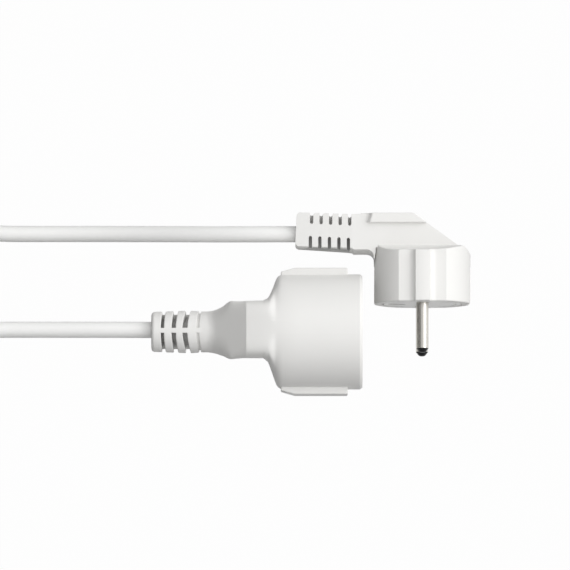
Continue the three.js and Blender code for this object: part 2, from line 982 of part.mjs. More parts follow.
// Plug: outline of the flat handle and upper body, seen along Z
function slabOutline() {
  const p = plug;
  const round = p.handleRound;
  const throatMiddle = [p.throatX - p.throatRadius, stepBottom - p.throatRadius];
  const shape = new THREE.Shape();
  shape.moveTo(p.handleEnd + round, handleBottom);
  shape.lineTo(p.handleRootX, handleRootBottom);
  shape.lineTo(p.stepX, stepBottom);
  shape.lineTo(throatMiddle[0], stepBottom);
  shape.absarc(...throatMiddle, p.throatRadius, Math.PI / 2, 0, true);
  shape.lineTo(p.throatX, throatFoot);
  shape.lineTo(0, rootFoot);
  shape.lineTo(p.noseEnd, rootFoot);
  shape.lineTo(p.noseEnd, p.noseEndHeight);
  shape.lineTo(p.noseStart, p.backHeight);
  shape.lineTo(p.handleRootX, p.backHeight);
  shape.lineTo(p.handleEnd + round, handleTop);
  shape.quadraticCurveTo(p.handleEnd, handleTop, p.handleEnd, handleTop - round);
  shape.lineTo(p.handleEnd, handleBottom + round);
  shape.quadraticCurveTo(
    p.handleEnd,
    handleBottom,
    p.handleEnd + round,
    handleBottom,
  );
  return shape;
}

// Drum with a softened pin edge
function plugDrum() {
  const p = plug;
  return turnedAboutY(
    [
      [0, 0],
      [0, p.drumRadius - p.faceRound],
      [p.faceRound / 3, p.drumRadius - p.faceRound / 3],
      [p.faceRound, p.drumRadius],
      [ledgeHeight, p.drumRadius],
      [ledgeHeight, 0],
    ],
    p.drumSegments,
  );
}

// Tool that slopes the drum's upper end down and away from the flat handle
function ledgeTool(side) {
  const p = plug;
  const drop = (reach) => ledgeHeight - p.ledgeSlope * (reach - p.slabHalfThickness);
  const outer = p.drumRadius + overrun;
  const outline = [
    [ledgeHeight, side * p.slabHalfThickness],
    [ledgeHeight + overrun, side * p.slabHalfThickness],
    [ledgeHeight + overrun, side * outer],
    [drop(outer), side * outer],
  ];
  return prism(outline, -outer, outer).applyMatrix4(alongX);
}

// Tool that rounds the drum's upper end down to its side, past the foot of the nose slope
function shoulderTool() {
  const p = plug;
  const outer = p.drumRadius + overrun;
  const top = ledgeHeight + overrun;
  const outline = [[p.noseEnd, top]];
  for (const share of shoulderStepShares)
    outline.push([
      p.noseEnd + share * (p.drumRadius - p.noseEnd),
      p.noseEndHeight - p.shoulderDrop * share ** 2,
    ]);
  outline.push([outer, p.noseEndHeight - p.shoulderDrop - overrun], [outer, top]);
  return prism(outline, -outer, outer);
}

// Tool that flattens the drum on one side of a guide rib, with a hollow foot at the rib
function flatTool(side, hand) {
  const p = plug;
  const ribSide = p.guideRibWidth / 2;
  const foot = ribSide + p.guideRibFoot;
  const rise = p.drumRadius - p.flatHeight;
  const outer = p.drumRadius + overrun;
  const outline = [[hand * ribSide, side * outer]];
  for (let i = 0; i <= arcPoints; i += 1) {
    const angle = (Math.PI / 2) * (i / arcPoints);
    outline.push([
      hand * (foot - p.guideRibFoot * Math.cos(angle)),
      side * (p.flatHeight + (rise + snugGap) * (1 - Math.sin(angle))),
    ]);
  }
  outline.push([hand * outer, side * p.flatHeight], [hand * outer, side * outer]);
  return prism(outline, -(ledgeHeight + overrun), overrun).applyMatrix4(alongMinusY);
}

// Raised grip plate on the back: two side pads with a hollow foot, cut by the nose slope
function gripPad(side) {
  const g = gripPlate;
  const inner = plug.slabHalfThickness - overrun;
  const outline = [[g.left - g.footReach, side * inner]];
  const rise = g.halfThickness - plug.slabHalfThickness;
  for (let i = 0; i <= arcPoints; i += 1) {
    const angle = (Math.PI / 2) * (i / arcPoints);
    outline.push([
      g.left - g.footReach * (1 - Math.sin(angle)),
      side * (plug.slabHalfThickness + rise * (1 - Math.cos(angle))),
    ]);
  }
  outline.push([g.right, side * g.halfThickness], [g.right, side * inner]);
  return prism(outline, -plateTop, -plateBottom).applyMatrix4(alongMinusY);
}

function gripTop() {
  const g = gripPlate;
  return block(
    [g.left, plug.backHeight - overrun, -g.halfThickness],
    [g.right, plateTop, g.halfThickness],
  );
}

function noseTool() {
  const p = plug;
  const g = gripPlate;
  const run = p.noseEnd - p.noseStart;
  const fall = p.backHeight - p.noseEndHeight;
  const far = plateTop - p.backHeight + overrun;
  const outline = [
    [p.noseStart - (far * run) / fall, p.backHeight + far],
    [p.noseEnd, p.noseEndHeight],
    [p.noseEnd, p.backHeight + far],
  ];
  return prism(outline, -p.drumRadius, p.drumRadius);
}

// Slots of the plug's strain relief, in two rows on both faces: round inside, open at the handle's edge
function slotOutline(middleX, inner, outer) {
  const radius = handleSlot.width / 2;
  const upward = outer > inner;
  const middle = inner + Math.sign(outer - inner) * radius;
  const shape = new THREE.Shape();
  shape.moveTo(middleX - radius, outer);
  shape.lineTo(middleX - radius, middle);
  shape.absarc(middleX, middle, radius, Math.PI, upward ? 2 * Math.PI : 0, !upward);
  shape.lineTo(middleX + radius, outer);
  shape.closePath();
  return shape;
}

function handleMiddleAt(x) {
  const p = plug;
  const share = shareOf(x, p.handleEnd, p.handleRootX);
  const endMiddle = (handleTop + handleBottom) / 2;
  const rootMiddle = (p.backHeight + handleRootBottom) / 2;
  return THREE.MathUtils.lerp(endMiddle, rootMiddle, share);
}

function handleSlots() {
  const s = handleSlot;
  const tools = [];
  for (let i = 0; i < s.count; i += 1) {
    const x = s.firstX + s.pitch * i;
    const middle = handleMiddleAt(x);
    const outer = plug.slabHalfThickness + overrun;
    const top = handleTop + overrun;
    const bottom = stepBottom - overrun;
    for (const [low, high] of [[s.floor, outer], [-outer, -s.floor]])
      tools.push(
        prism(slotOutline(x + s.upperShift, middle + s.webHalfHeight, top), low, high),
        prism(slotOutline(x + s.lowerShift, middle - s.webHalfHeight, bottom), low, high),
      );
    tools.push(
      block(
        [x + s.upperShift - s.width / 2, plug.backHeight - s.notchDepth, -outer],
        [x + s.upperShift + s.width / 2, top, outer],
      ),
    );
  }
  return tools;
}

// Hollows of the plug's body for the bridge, the pins' tails, the earth clip, the wires and the cable
function plugHollows() {
  const h = plugHollow;
  const e = plugEarth;
  const bridgeSeat = bridge.radius + seatGap;
  const slotHalf = e.width / 2 + seatGap;
  const stripInner = e.stripReach - e.thickness - seatGap;
  const hollows = [
    rodAlongY(bridgeSeat, -overrun, bridge.thickness + seatGap, 0, 0, recess.segments),
    rodAlongY(h.chamberRadius, bridge.thickness, h.chamberTop, 0, 0, recess.segments),
    block(
      [h.riserLeft, h.chamberTop - overrun, -h.riserHalfWidth],
      [h.riserRight, cordHeight + h.riserHead, h.riserHalfWidth],
    ),
    rodAlongX(
      cordRadius + seatGap,
      plug.handleEnd - overrun,
      h.riserLeft + overrun,
      cordHeight,
      0,
      contact.segments,
    ),
    block(
      [-e.stripReach - seatGap, e.barHeight - seatGap - e.thickness / 2, -slotHalf],
      [e.stripReach + seatGap, e.barHeight + seatGap + e.thickness / 2, slotHalf],
    ),
  ];
  for (const side of [1, -1]) {
    const edges = [side * stripInner, side * (plug.drumRadius + overrun)];
    hollows.push(
      block(
        [Math.min(...edges), -overrun, -slotHalf],
        [Math.max(...edges), e.barHeight + seatGap + e.thickness / 2, slotHalf],
      ),
    );
  }
  return hollows;
}

function makePlugBody() {
  const half = plug.slabHalfThickness;
  let drum = solid(plugDrum());
  for (const side of [1, -1])
    drum = cut(drum, ledgeTool(side), flatTool(side, 1), flatTool(side, -1));
  drum = cut(drum, shoulderTool());
  const plate = cut(join(gripPad(1), gripPad(-1), gripTop()), noseTool());
  const whole = drum.add(solid(prism(slabOutline(), -half, half))).add(plate);
  return cut(whole, ...handleSlots(), ...plugHollows());
}

function makePinBridge() {
  const disc = rodAlongY(bridge.radius, 0, bridge.thickness, 0, 0, recess.segments);
  const way = (radius, x, z) =>
    rodAlongY(radius, -overrun, bridge.thickness + overrun, x, z, bridge.pinSegments);
  return cut(
    solid(disc),
    way(pinRadius + seatGap, 0, pinPlace),
    way(pinRadius + seatGap, 0, -pinPlace),
    way(plugEarth.socketRadius + seatGap, plugEarth.socketPlace, 0),
  );
}

// Hollow pin with a collar behind the bridge and a closed tail for its wire
function makePin(side) {
  const b = bridge;
  const tip = -(pinReach - b.tipLength - snugGap);
  const collarFoot = b.thickness + seatGap;
  const collarTop = collarFoot + b.pinCollarLength;
  const pin = turnedAboutY(
    [
      [-b.boreEnd, 0],
      [-b.boreEnd, b.boreRadius],
      [tip, b.boreRadius],
      [tip, pinRadius],
      [collarFoot, pinRadius],
      [collarFoot, b.pinCollarRadius],
      [collarTop, b.pinCollarRadius],
      [collarTop, pinRadius],
      [b.thickness + b.pinTailLength, pinRadius],
      [b.thickness + b.pinTailLength, 0],
    ],
    b.pinSegments,
  );
  return pin.translate(0, 0, side * pinPlace);
}

function makePinTip(side) {
  const b = bridge;
  const root = -(pinReach - b.tipLength);
  const tip = turnedAboutY(
    [
      [-pinReach, 0],
      [-pinReach, b.tipFlatRadius],
      [root - (b.tipLength + b.tipStraight) / 2, (pinRadius + b.tipFlatRadius + b.tipStraight) / 2],
      [root - b.tipStraight, pinRadius],
      [root, pinRadius],
      [root, b.spigotRadius],
      [root + b.spigotLength, b.spigotRadius],
      [root + b.spigotLength, 0],
    ],
    b.pinSegments,
  );
  return tip.translate(0, 0, side * pinPlace);
}

// Side contacts and the bar over the bridge that joins them, bent from one strip
function makePlugEarthClip() {
  const e = plugEarth;
  const outer = e.stripReach;
  const inner = e.stripReach - e.thickness;
  const low = e.barHeight - e.thickness / 2;
  const high = e.barHeight + e.thickness / 2;
  const outline = [
    [-outer, e.stripFoot],
    [-inner, e.stripFoot],
    [-inner, low],
    [inner, low],
    [inner, e.stripFoot],
    [outer, e.stripFoot],
    [outer, high],
    [-outer, high],
  ];
  return prism(outline, -e.width / 2, e.width / 2);
}

function makeEarthPinSocket() {
  const e = plugEarth;
  const top = e.barHeight - e.thickness / 2 - seatGap;
  const roof = top - e.socketCap;
  return turnedAboutY(
    [
      [roof, 0],
      [roof, e.socketBore],
      [e.socketFoot, e.socketBore],
      [e.socketFoot, e.socketRadius],
      [top, e.socketRadius],
      [top, 0],
    ],
    bridge.pinSegments,
  ).translate(e.socketPlace, 0, 0);
}

function makePlugWires() {
  const h = plugHollow;
  const w = couplingWires;
  const start = h.riserLeft + seatGap;
  const lift = w.bundleRadius * Math.cos(Math.PI / 6);
  const drop = w.bundleRadius / 2;
  const cable = cordHeight;
  const pinTail = bridge.thickness + bridge.pinTailLength + seatGap;
  const bend = pinDiameter;
  const lead = w.radius;
  const core = (side) =>
    couplingWire([
      [start, cable + drop, side * lift],
      [start + lead, cable + drop, side * lift],
      [start + bend, cable - drop, side * lift],
      [-drop, (cable - drop + h.chamberTop + lead) / 2, side * (lift + drop)],
      [0, h.chamberTop + lead, side * (lift + drop + drop)],
      [0, h.chamberTop - drop - lead, side * (pinPlace - bend)],
      [0, pinTail + lead + drop, side * (pinPlace - drop / 2)],
      [0, pinTail + lead, side * pinPlace],
      [0, pinTail, side * pinPlace],
    ]);
  const barTop = plugEarth.barHeight + plugEarth.thickness / 2 + seatGap;
  const earth = couplingWire([
    [start, cable - w.bundleRadius, 0],
    [start + lead, cable - w.bundleRadius, 0],
    [-bend, cable - bend - drop, 0],
    [-bend, barTop + lead, 0],
    [-bend, barTop, 0],
  ]);
  return [core(1), core(-1), earth];
}

function makePlug() {
  const group = new THREE.Group();
  const [brown, blue, earth] = makePlugWires();
  const stub = rodAlongX(
    cordRadius,
    plug.handleEnd,
    plugHollow.riserLeft,
    cordHeight,
    0,
    contact.segments,
  );
  group.add(
    piece("plug_body", "whitePlastic", makePlugBody()),
    piece("pin_bridge", "whiteHardPlastic", makePinBridge()),
    piece("live_pin", "nickel", makePin(1)),
    piece("neutral_pin", "nickel", makePin(-1)),
    piece("live_pin_tip", "blackPlastic", makePinTip(1)),
    piece("neutral_pin_tip", "blackPlastic", makePinTip(-1)),
    piece("plug_earth_clip", "nickel", makePlugEarthClip()),
    piece("earth_pin_socket", "nickel", makeEarthPinSocket()),
    piece("plug_wire_brown", "brownWire", brown),
    piece("plug_wire_blue", "blueWire", blue),
    piece("plug_wire_earth", "earthWire", earth),
    piece("plug_cable_stub", "whiteSheath", stub),
  );
  group.position.set(
    overallLength / 2 - plug.drumRadius,
    overallWidth / 2 - handleTop,
    plug.drumRadius,
  );
  return group;
}

// Cord: the coil's centreline spirals in on odd layers and out on even ones, and climbs where it turns back
const floorHeight = cordRadius + coil.liftOverTies;

function coilPoint(turn) {
  const turnsPerLayer = coil.turns / coil.layers;
  const inward = coil.ringPitch * turnsPerLayer;
  const layer = Math.min(Math.floor(turn / turnsPerLayer), coil.layers - 1);
  const share = turn / turnsPerLayer - layer;
  const depth = layer % 2 === 0 ? share : 1 - share;
  const radius = coil.outerRadius - inward * depth;
  let climb = 0;
  for (let change = 1; change < coil.layers; change += 1) {
    const middle = change * turnsPerLayer;
    climb += shareOf(turn, middle - coil.climbTurns / 2, middle + coil.climbTurns / 2);
  }
  const angle = Math.PI / 2 + 2 * Math.PI * turn;
  return new THREE.Vector3(
    coil.centre[0] + radius * Math.cos(angle),
    coil.centre[1] + radius * Math.sin(angle),
    floorHeight + coil.layerPitch * climb,
  );
}

function coilPoints() {
  const steps = Math.round(coil.turns * coil.stepsPerTurn);
  const points = [];
  for (let i = 0; i <= steps; i += 1)
    points.push(coilPoint((coil.turns * i) / steps));
  return points;
}

// Rings round a path, kept upright, with both ends square to the X direction that they leave in
function ringsAlong(points, radius, sides) {
  const up = new THREE.Vector3(0, 0, 1);
  return points.map((point, i) => {
    const before = points[Math.max(i - 1, 0)];
    const after = points[Math.min(i + 1, points.length - 1)];
    const ahead = after.clone().sub(before).normalize();
    const across = new THREE.Vector3().crossVectors(ahead, up).normalize();
    const rise = new THREE.Vector3().crossVectors(across, ahead);
    const ring = [];
    for (let side = 0; side < sides; side += 1) {
      const angle = (2 * Math.PI * side) / sides;
      ring.push(
        point
          .clone()
          .addScaledVector(across, -radius * Math.cos(angle))
          .addScaledVector(rise, radius * Math.sin(angle)),
      );
    }
    return ring;
  });
}

function leastGap(points) {
  const apart = coil.stepsPerTurn / 2;
  let least = Infinity;
  points.forEach((point, i) => {
    for (let j = i + apart; j < points.length; j += 1)
      least = Math.min(least, point.distanceTo(points[j]));
  });
  return least - cordDiameter;
}

function makeCoil() {
  const turns = coilPoints();
  const straight = (end, direction) =>
    end.clone().add(new THREE.Vector3(direction * cordDiameter, 0, 0));
  const first = straight(turns[0], 1);
  const last = straight(turns[turns.length - 1], 1);
  const path = [first, ...turns, last];
  console.log("least gap of the coil to itself, mm:", leastGap(path).toFixed(2));
  console.log("coil ends:", first.toArray(), last.toArray());
  return skinned(ringsAlong(path, cordRadius, coil.sides));
}

// A tie is a flat band round the whole bundle of turns, resting on the floor
function makeTie(side) {
  const inward = (coil.ringPitch * coil.turns) / coil.layers;
  const band = (grow) => {
    const width = inward + cordDiameter + 2 * grow;
    const low = coil.liftOverTies - grow;
    const high = low + coil.layerPitch * (coil.layers - 1) + cordDiameter + 2 * grow;
    const middle = coil.centre[0] + side * (coil.outerRadius - inward / 2);
    const round = tie.cornerRadius + grow;
    const shape = new THREE.Shape();
    const corner = [middle - width / 2, middle + width / 2];
    shape.moveTo(corner[0] + round, low);
    shape.lineTo(corner[1] - round, low);
    shape.quadraticCurveTo(corner[1], low, corner[1], low + round);
    shape.lineTo(corner[1], high - round);
    shape.quadraticCurveTo(corner[1], high, corner[1] - round, high);
    shape.lineTo(corner[0] + round, high);
    shape.quadraticCurveTo(corner[0], high, corner[0], high - round);
    shape.lineTo(corner[0], low + round);
    shape.quadraticCurveTo(corner[0], low, corner[0] + round, low);
    return shape;
  };
  const half = tie.width / 2;
  const outer = solid(prism(band(seatGap + tie.thickness), -half, half));
  const hollow = prism(band(seatGap), -half - overrun, half + overrun);
  return geometryOf(cut(outer, hollow))
    .applyMatrix4(alongMinusY)
    .translate(0, coil.centre[1], 0);
}

function makeStretch(route) {
  return tubeAlong(route, cordRadius, freeCord.sides, freeCord.steps);
}

function makeCord() {
  const group = new THREE.Group();
  group.add(
    piece("cord_plug_stretch", "whiteSheath", makeStretch(plugRoute)),
    piece("cord_coil", "whiteSheath", makeCoil()),
    piece("cord_coupling_stretch", "whiteSheath", makeStretch(couplingRoute)),
    piece("coil_tie_left", "blackTie", makeTie(-1)),
    piece("coil_tie_right", "blackTie", makeTie(1)),
  );
  return group;
}

const extensionCord = new THREE.Group();
extensionCord.add(makeCoupling(), makePlug(), makeCord());

export default extensionCord;
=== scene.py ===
import json
import math

import bmesh
import bpy
import numpy as np
from mathutils import Matrix, Vector


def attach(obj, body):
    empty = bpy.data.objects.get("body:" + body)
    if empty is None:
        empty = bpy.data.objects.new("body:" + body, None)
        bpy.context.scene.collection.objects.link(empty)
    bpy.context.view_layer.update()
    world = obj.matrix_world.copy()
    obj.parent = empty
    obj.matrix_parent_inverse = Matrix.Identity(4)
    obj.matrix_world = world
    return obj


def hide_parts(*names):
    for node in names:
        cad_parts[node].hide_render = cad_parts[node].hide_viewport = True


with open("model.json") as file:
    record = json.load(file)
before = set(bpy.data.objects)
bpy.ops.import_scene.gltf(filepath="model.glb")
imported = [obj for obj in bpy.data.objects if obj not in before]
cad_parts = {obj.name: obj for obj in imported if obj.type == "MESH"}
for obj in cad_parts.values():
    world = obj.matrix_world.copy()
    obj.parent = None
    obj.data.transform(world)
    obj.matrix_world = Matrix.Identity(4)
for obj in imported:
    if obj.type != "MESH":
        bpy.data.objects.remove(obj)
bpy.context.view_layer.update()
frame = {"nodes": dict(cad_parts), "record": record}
mm = 0.001
print("frame loaded:", len(frame["nodes"]), "nodes")


# an object for a piece of data, put into the scene
def placed(name, data):
    made = bpy.data.objects.new(name, data)
    bpy.context.scene.collection.objects.link(made)
    return made


# a camera or a lamp at a place, looking at a target, its top towards +Y
def aimed(made, place, target):
    made.location = place
    made.rotation_euler = (Vector(target) - Vector(place)).to_track_quat("-Z", "Y").to_euler()
    return made


# camera: a long lens, leaning a little towards the pins' side
view = {
    "target": (-10.24, 7.84, 19.05), "distance": 5000, "elevation": 85.2, "frameWidth": 224.4, "sensor": 36,
    "clip": (0.05, 20)}


def makeCamera():
    lean = math.radians(view["elevation"])
    lens = bpy.data.cameras.new("studioCamera")
    lens.sensor_width = view["sensor"]
    lens.lens = view["sensor"] * view["distance"] / view["frameWidth"]
    lens.clip_start, lens.clip_end = view["clip"]
    target = Vector(view["target"]) * mm
    away = Vector((0, -math.cos(lean), math.sin(lean))) * (view["distance"] * mm)
    bpy.context.scene.camera = aimed(placed("studioCamera", lens), target + away, target)


makeCamera()
print("camera set")


# a number in a material: an expression on it adds its Math nodes
class Wave:
    def __init__(self, tree, socket):
        self.tree = tree
        self.socket = socket

    def math(self, operation, *values):
        node = self.tree.nodes.new("ShaderNodeMath")
        node.operation = operation
        for slot, value in zip(node.inputs, values):
            if isinstance(value, Wave):
                self.tree.links.new(value.socket, slot)
            else:
                slot.default_value = value
        return Wave(self.tree, node.outputs[0])

    def __add__(self, other): return self.math("ADD", self, other)
    def __radd__(self, other): return self.math("ADD", other, self)
    def __sub__(self, other): return self.math("SUBTRACT", self, other)
    def __rsub__(self, other): return self.math("SUBTRACT", other, self)
    def __mul__(self, other): return self.math("MULTIPLY", self, other)
    def __rmul__(self, other): return self.math("MULTIPLY", other, self)
    def clamped(self): return self.math("MAXIMUM", self.math("MINIMUM", self, 1.0), 0.0)
    def sine(self): return self.math("SINE", self)


# any node: its settings first, then the values or links of its sockets
def addNode(tree, kind, settings, sockets):
    node = tree.nodes.new(kind)
    for key, value in (settings or {}).items():
        setattr(node, key, value)
    for key, value in (sockets or {}).items():
        value = value.socket if isinstance(value, Wave) else value
        if isinstance(value, bpy.types.NodeSocket):
            tree.links.new(value, node.inputs[key])
        else:
            node.inputs[key].default_value = value
    return node


class Finish:
    def __init__(self, name):
        self.material = bpy.data.materials.new(name)
        self.material.use_nodes = True
        self.tree = self.material.node_tree
        self.tree.nodes.clear()

    def node(self, kind, settings=None, sockets=None):
        return addNode(self.tree, "ShaderNode" + kind, settings, sockets)

    def wave(self, node, key=0):
        return Wave(self.tree, node.outputs[key])

    def place(self, scale=(1, 1, 1)):
        coords = self.node("TexCoord")
        return self.node("Mapping", None, {"Vector": coords.outputs["Object"], "Scale": scale}).outputs["Vector"]

    def noise(self, place, scale, detail=3, rough=0.55):
        sockets = {"Vector": place, "Scale": scale, "Detail": detail, "Roughness": rough}
        return self.wave(self.node("TexNoise", None, sockets))

    # between two colours or sockets, by a share
    def mix(self, share, low, high):
        low, high = ((*tint, 1) if isinstance(tint, tuple) else tint for tint in (low, high))
        return self.node("Mix", {"data_type": "RGBA"}, {0: share, 6: low, 7: high}).outputs[2]

    def ended(self, shader):
        self.node("OutputMaterial", None, {"Surface": shader})
        return self.material

    # the whole plastic or metal; further sockets are given by name, with _ for a space
    def surface(self, colour, roughness, height, strength, depth, **fixed):
        sockets = {key.replace("_", " "): value for key, value in fixed.items()}
        bump = self.node("Bump", None, {"Height": height, "Strength": strength, "Distance": depth})
        sockets.update({"Base Color": colour, "Roughness": roughness, "Normal": bump.outputs["Normal"]})
        return self.ended(self.node("BsdfPrincipled", None, sockets).outputs["BSDF"])


# how often each pattern repeats in a metre
pattern = {
    "cloud": 42, "grain": 2600, "flow": (60, 420, 420), "sheathCloud": 30, "sheathGrain": 1900,
    "drawnLines": (900, 12, 900), "tarnish": 160, "coreCloud": 300, "coreStripe": 2800, "thread": 7000}
# painted shade for narrow pockets: how fast it grows, how much of the tint it covers, and how dark it makes it
pocketShading = {"gain": 2.2, "cover": 0.8, "shade": 0.2}
# the share of two patterns in a tint or roughness, and what is added to them
blends = {
    "mouldedTint": (0.75, 0.35, -0.05), "mouldedRough": (0.1, 0.14, -0.12), "sheathTint": (0.8, 0.3, 0.0),
    "sheathRough": (0.14, 0.1, 0.36), "drawnTint": (0.5, 0.6, -0.05), "drawnRough": (0.12, 0.1, -0.1)}


def blended(kind, first, second, extra=0.0):
    firstShare, secondShare, base = blends[kind]
    return (first * firstShare + second * secondShare + (base + extra)).clamped()


# moulded plastic: cloudy tint, fine grain, faint flow marks, and painted shade in its narrow pockets
def mouldedPlastic(name, tint, shade, roughness, grain, specular=0.45):
    made, d = Finish(name), pocketShading
    pocket = made.wave(made.node("Attribute", {"attribute_name": "pocket"}), "Fac")
    place = made.place()
    cloud = made.noise(place, pattern["cloud"], detail=2)
    speck = made.noise(place, pattern["grain"], detail=3, rough=0.6)
    flow = made.noise(made.place(pattern["flow"]), scale=1, detail=2)
    mixed = made.mix(blended("mouldedTint", cloud, speck), shade, tint)
    # painted shade: the tint darkened towards a fifth of the shade colour where the pocket attribute is high
    shadedTint = tuple(d["shade"] * value for value in shade)
    mixed = made.mix((pocket * d["gain"]).clamped() * d["cover"], mixed, shadedTint)
    rough = blended("mouldedRough", cloud, speck, roughness)
    height = speck * 0.6 + flow * 0.4
    return made.surface(mixed, rough, height, strength=grain, depth=0.00004, Specular_IOR_Level=specular)


# extruded sheath: a soft bloom and a fine grain
def sheathPlastic(name, tint, shade):
    made = Finish(name)
    place = made.place()
    cloud = made.noise(place, pattern["sheathCloud"], detail=2)
    speck = made.noise(place, pattern["sheathGrain"], detail=2)
    mixed = made.mix(blended("sheathTint", cloud, speck), shade, tint)
    rough = blended("sheathRough", cloud, speck)
    return made.surface(mixed, rough, speck, strength=0.1, depth=0.00004, Specular_IOR_Level=0.45)


# drawn metal: lines along one axis, with faint tarnish
def drawnMetal(name, bright, dull, roughness):
    made = Finish(name)
    fine = made.noise(made.place(pattern["drawnLines"]), scale=1)
    cloud = made.noise(made.place(), pattern["tarnish"])
    mixed = made.mix(blended("drawnTint", fine, cloud), dull, bright)
    rough = blended("drawnRough", fine, cloud, roughness)
    return made.surface(mixed, rough, fine, strength=0.15, depth=0.00002, Metallic=1.0)


# insulated core: one colour, or stripes of two
core = {"cloudShare": 0.9, "stripeSlope": 4, "stripeMiddle": 0.5, "roughShare": 0.15, "rough": 0.4}


def coreSheath(name, tint, shade, stripe=None):
    made = Finish(name)
    place = made.place()
    cloud = made.noise(place, pattern["coreCloud"], detail=2)
    mixed = made.mix((cloud * core["cloudShare"]).clamped(), shade, tint)
    if stripe:
        split = made.node("SeparateXYZ", None, {"Vector": place})
        band = (made.wave(split, "Z") * pattern["coreStripe"]).sine() * core["stripeSlope"] + core["stripeMiddle"]
        mixed = made.mix(band.clamped(), mixed, stripe)
    rough = (cloud * core["roughShare"] + core["rough"]).clamped()
    return made.surface(mixed, rough, cloud, strength=0.1, depth=0.00005)


# woven band: crossing ribs of thread
weaving = {"low": (0.018, 0.018, 0.02), "high": (0.06, 0.06, 0.065), "roughShare": 0.2, "rough": 0.65}


def wovenBand(name):
    made = Finish(name)
    split = made.node("SeparateXYZ", None, {"Vector": made.place()})
    along, across, up = (made.wave(split, key) for key in "XYZ")
    warp = ((along + up) * pattern["thread"]).sine()
    weft = (across * pattern["thread"]).sine()
    weave = (warp * weft * 0.5 + 0.5).clamped()
    mixed = made.mix(weave, weaving["low"], weaving["high"])
    rough = (weave * weaving["roughShare"] + weaving["rough"]).clamped()
    return made.surface(mixed, rough, weave, strength=0.6, depth=0.0001, Sheen_Weight=0.25)


finishes = {
    "white_plastic": mouldedPlastic("moulded white", (0.84, 0.835, 0.82), (0.8, 0.795, 0.775), 0.5, 0.12, 0.28),
    "white_hard_plastic": mouldedPlastic("hard white", (0.8, 0.8, 0.79), (0.75, 0.75, 0.735), 0.34, 0.06),
    "white_sheath": sheathPlastic("cord sheath", (0.93, 0.93, 0.92), (0.89, 0.89, 0.875)),
    "nickel": drawnMetal("nickel plate", (0.72, 0.7, 0.66), (0.58, 0.555, 0.51), 0.24),
    "brass": drawnMetal("bare brass", (0.78, 0.6, 0.3), (0.62, 0.45, 0.2), 0.34),
    "spring_steel": drawnMetal("spring steel", (0.56, 0.56, 0.57), (0.42, 0.42, 0.43), 0.32),
    "black_plastic": mouldedPlastic("tip black", (0.011, 0.011, 0.012), (0.006, 0.006, 0.007), 0.4, 0.08, 0.22),
    "brown_core": coreSheath("brown core", (0.16, 0.07, 0.035), (0.11, 0.045, 0.02)),
    "blue_core": coreSheath("blue core", (0.05, 0.14, 0.42), (0.03, 0.1, 0.33)),
    "earth_core": coreSheath("earth core", (0.62, 0.56, 0.04), (0.5, 0.45, 0.03), (0.05, 0.26, 0.05)),
    "black_tie": wovenBand("tie weave"),
}
slots = {row["node"]: row["material_slot"] for row in frame["record"]["subparts"]}
for name, node in frame["nodes"].items():
    node.data.materials.clear()
    node.data.materials.append(finishes[slots[name]])
print("materials made:", len(finishes))


# mesh helpers: pieces are made in millimetres and turned to metres at the end
def meshFrom(name, points, faces, edges=()):
    mesh = bpy.data.meshes.new(name)
    mesh.from_pydata([tuple(p) for p in points], edges, faces)
    mesh.update()
    return placed(name, mesh)


# rings of as many points each become one closed skin, capped at both ends
def skin(name, rings, looped=False):
    rings = np.asarray(rings, float)
    rows, count = rings.shape[:2]
    faces = []
    for row in range(rows if looped else rows - 1):
        for i in range(count):
            j = (i + 1) % count
            a, b = row * count, (row + 1) % rows * count
            faces.append((a + i, a + j, b + j, b + i))
    if not looped:
        faces.append(tuple(reversed(range(count))))
        faces.append(tuple(range((rows - 1) * count, rows * count)))
    return meshFrom(name, rings.reshape(-1, 3), faces)


# an object's modifiers worked into a plain mesh
def settle(piece):
    graph = bpy.context.evaluated_depsgraph_get()
    made = bpy.data.meshes.new_from_object(piece.evaluated_get(graph))
    piece.modifiers.clear()
    piece.data = made
    return piece


def combine(piece, tool, operation="DIFFERENCE"):
    change = piece.modifiers.new("combine", "BOOLEAN")
    change.operation, change.solver, change.object = operation, "EXACT", tool
    settle(piece)
    bpy.data.objects.remove(tool)
    return piece


# points closer than this become one, and faces flatter than this go
mending = {"doubles": 0.002, "flat": 0.0005}


# merged doubles, outward faces, soft shading with creases kept
def tidy(piece, crease=32):
    work = bmesh.new()
    work.from_mesh(piece.data)
    bmesh.ops.remove_doubles(work, verts=work.verts, dist=mending["doubles"])
    bmesh.ops.dissolve_degenerate(work, dist=mending["flat"], edges=work.edges)
    bmesh.ops.recalc_face_normals(work, faces=work.faces)
    work.to_mesh(piece.data)
    work.free()
    piece.data.polygons.foreach_set("use_smooth", [True] * len(piece.data.polygons))
    piece.data.set_sharp_from_angle(angle=math.radians(crease))
    return piece


# flat faces keep flat shading next to small rounds
def evened(piece):
    change = piece.modifiers.new("evened", "WEIGHTED_NORMAL")
    change.keep_sharp, change.weight = True, 80
    return settle(piece)


# how deep in a pocket each point lies, which sets the painted shade in the plastic's tint
def pocketed(piece, depth):
    places = np.empty(len(piece.data.vertices) * 3)
    piece.data.vertices.foreach_get("co", places)
    layer = piece.data.attributes.new("pocket", "FLOAT", "POINT")
    layer.data.foreach_set("value", np.clip(depth(*places.reshape(-1, 3).T), 0, 1).astype(np.float32))
    return piece


# the last step of each piece: metres, its place and finish, and the node that it replaces
def finished(piece, slot, replaced, origin=(0, 0, 0)):
    piece.data.transform(Matrix.Scale(mm, 4) @ Matrix.Translation(origin))
    piece.data.materials.clear()
    piece.data.materials.append(finishes[slot])
    piece.data.update()
    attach(piece, "case")
    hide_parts(replaced)
    return piece


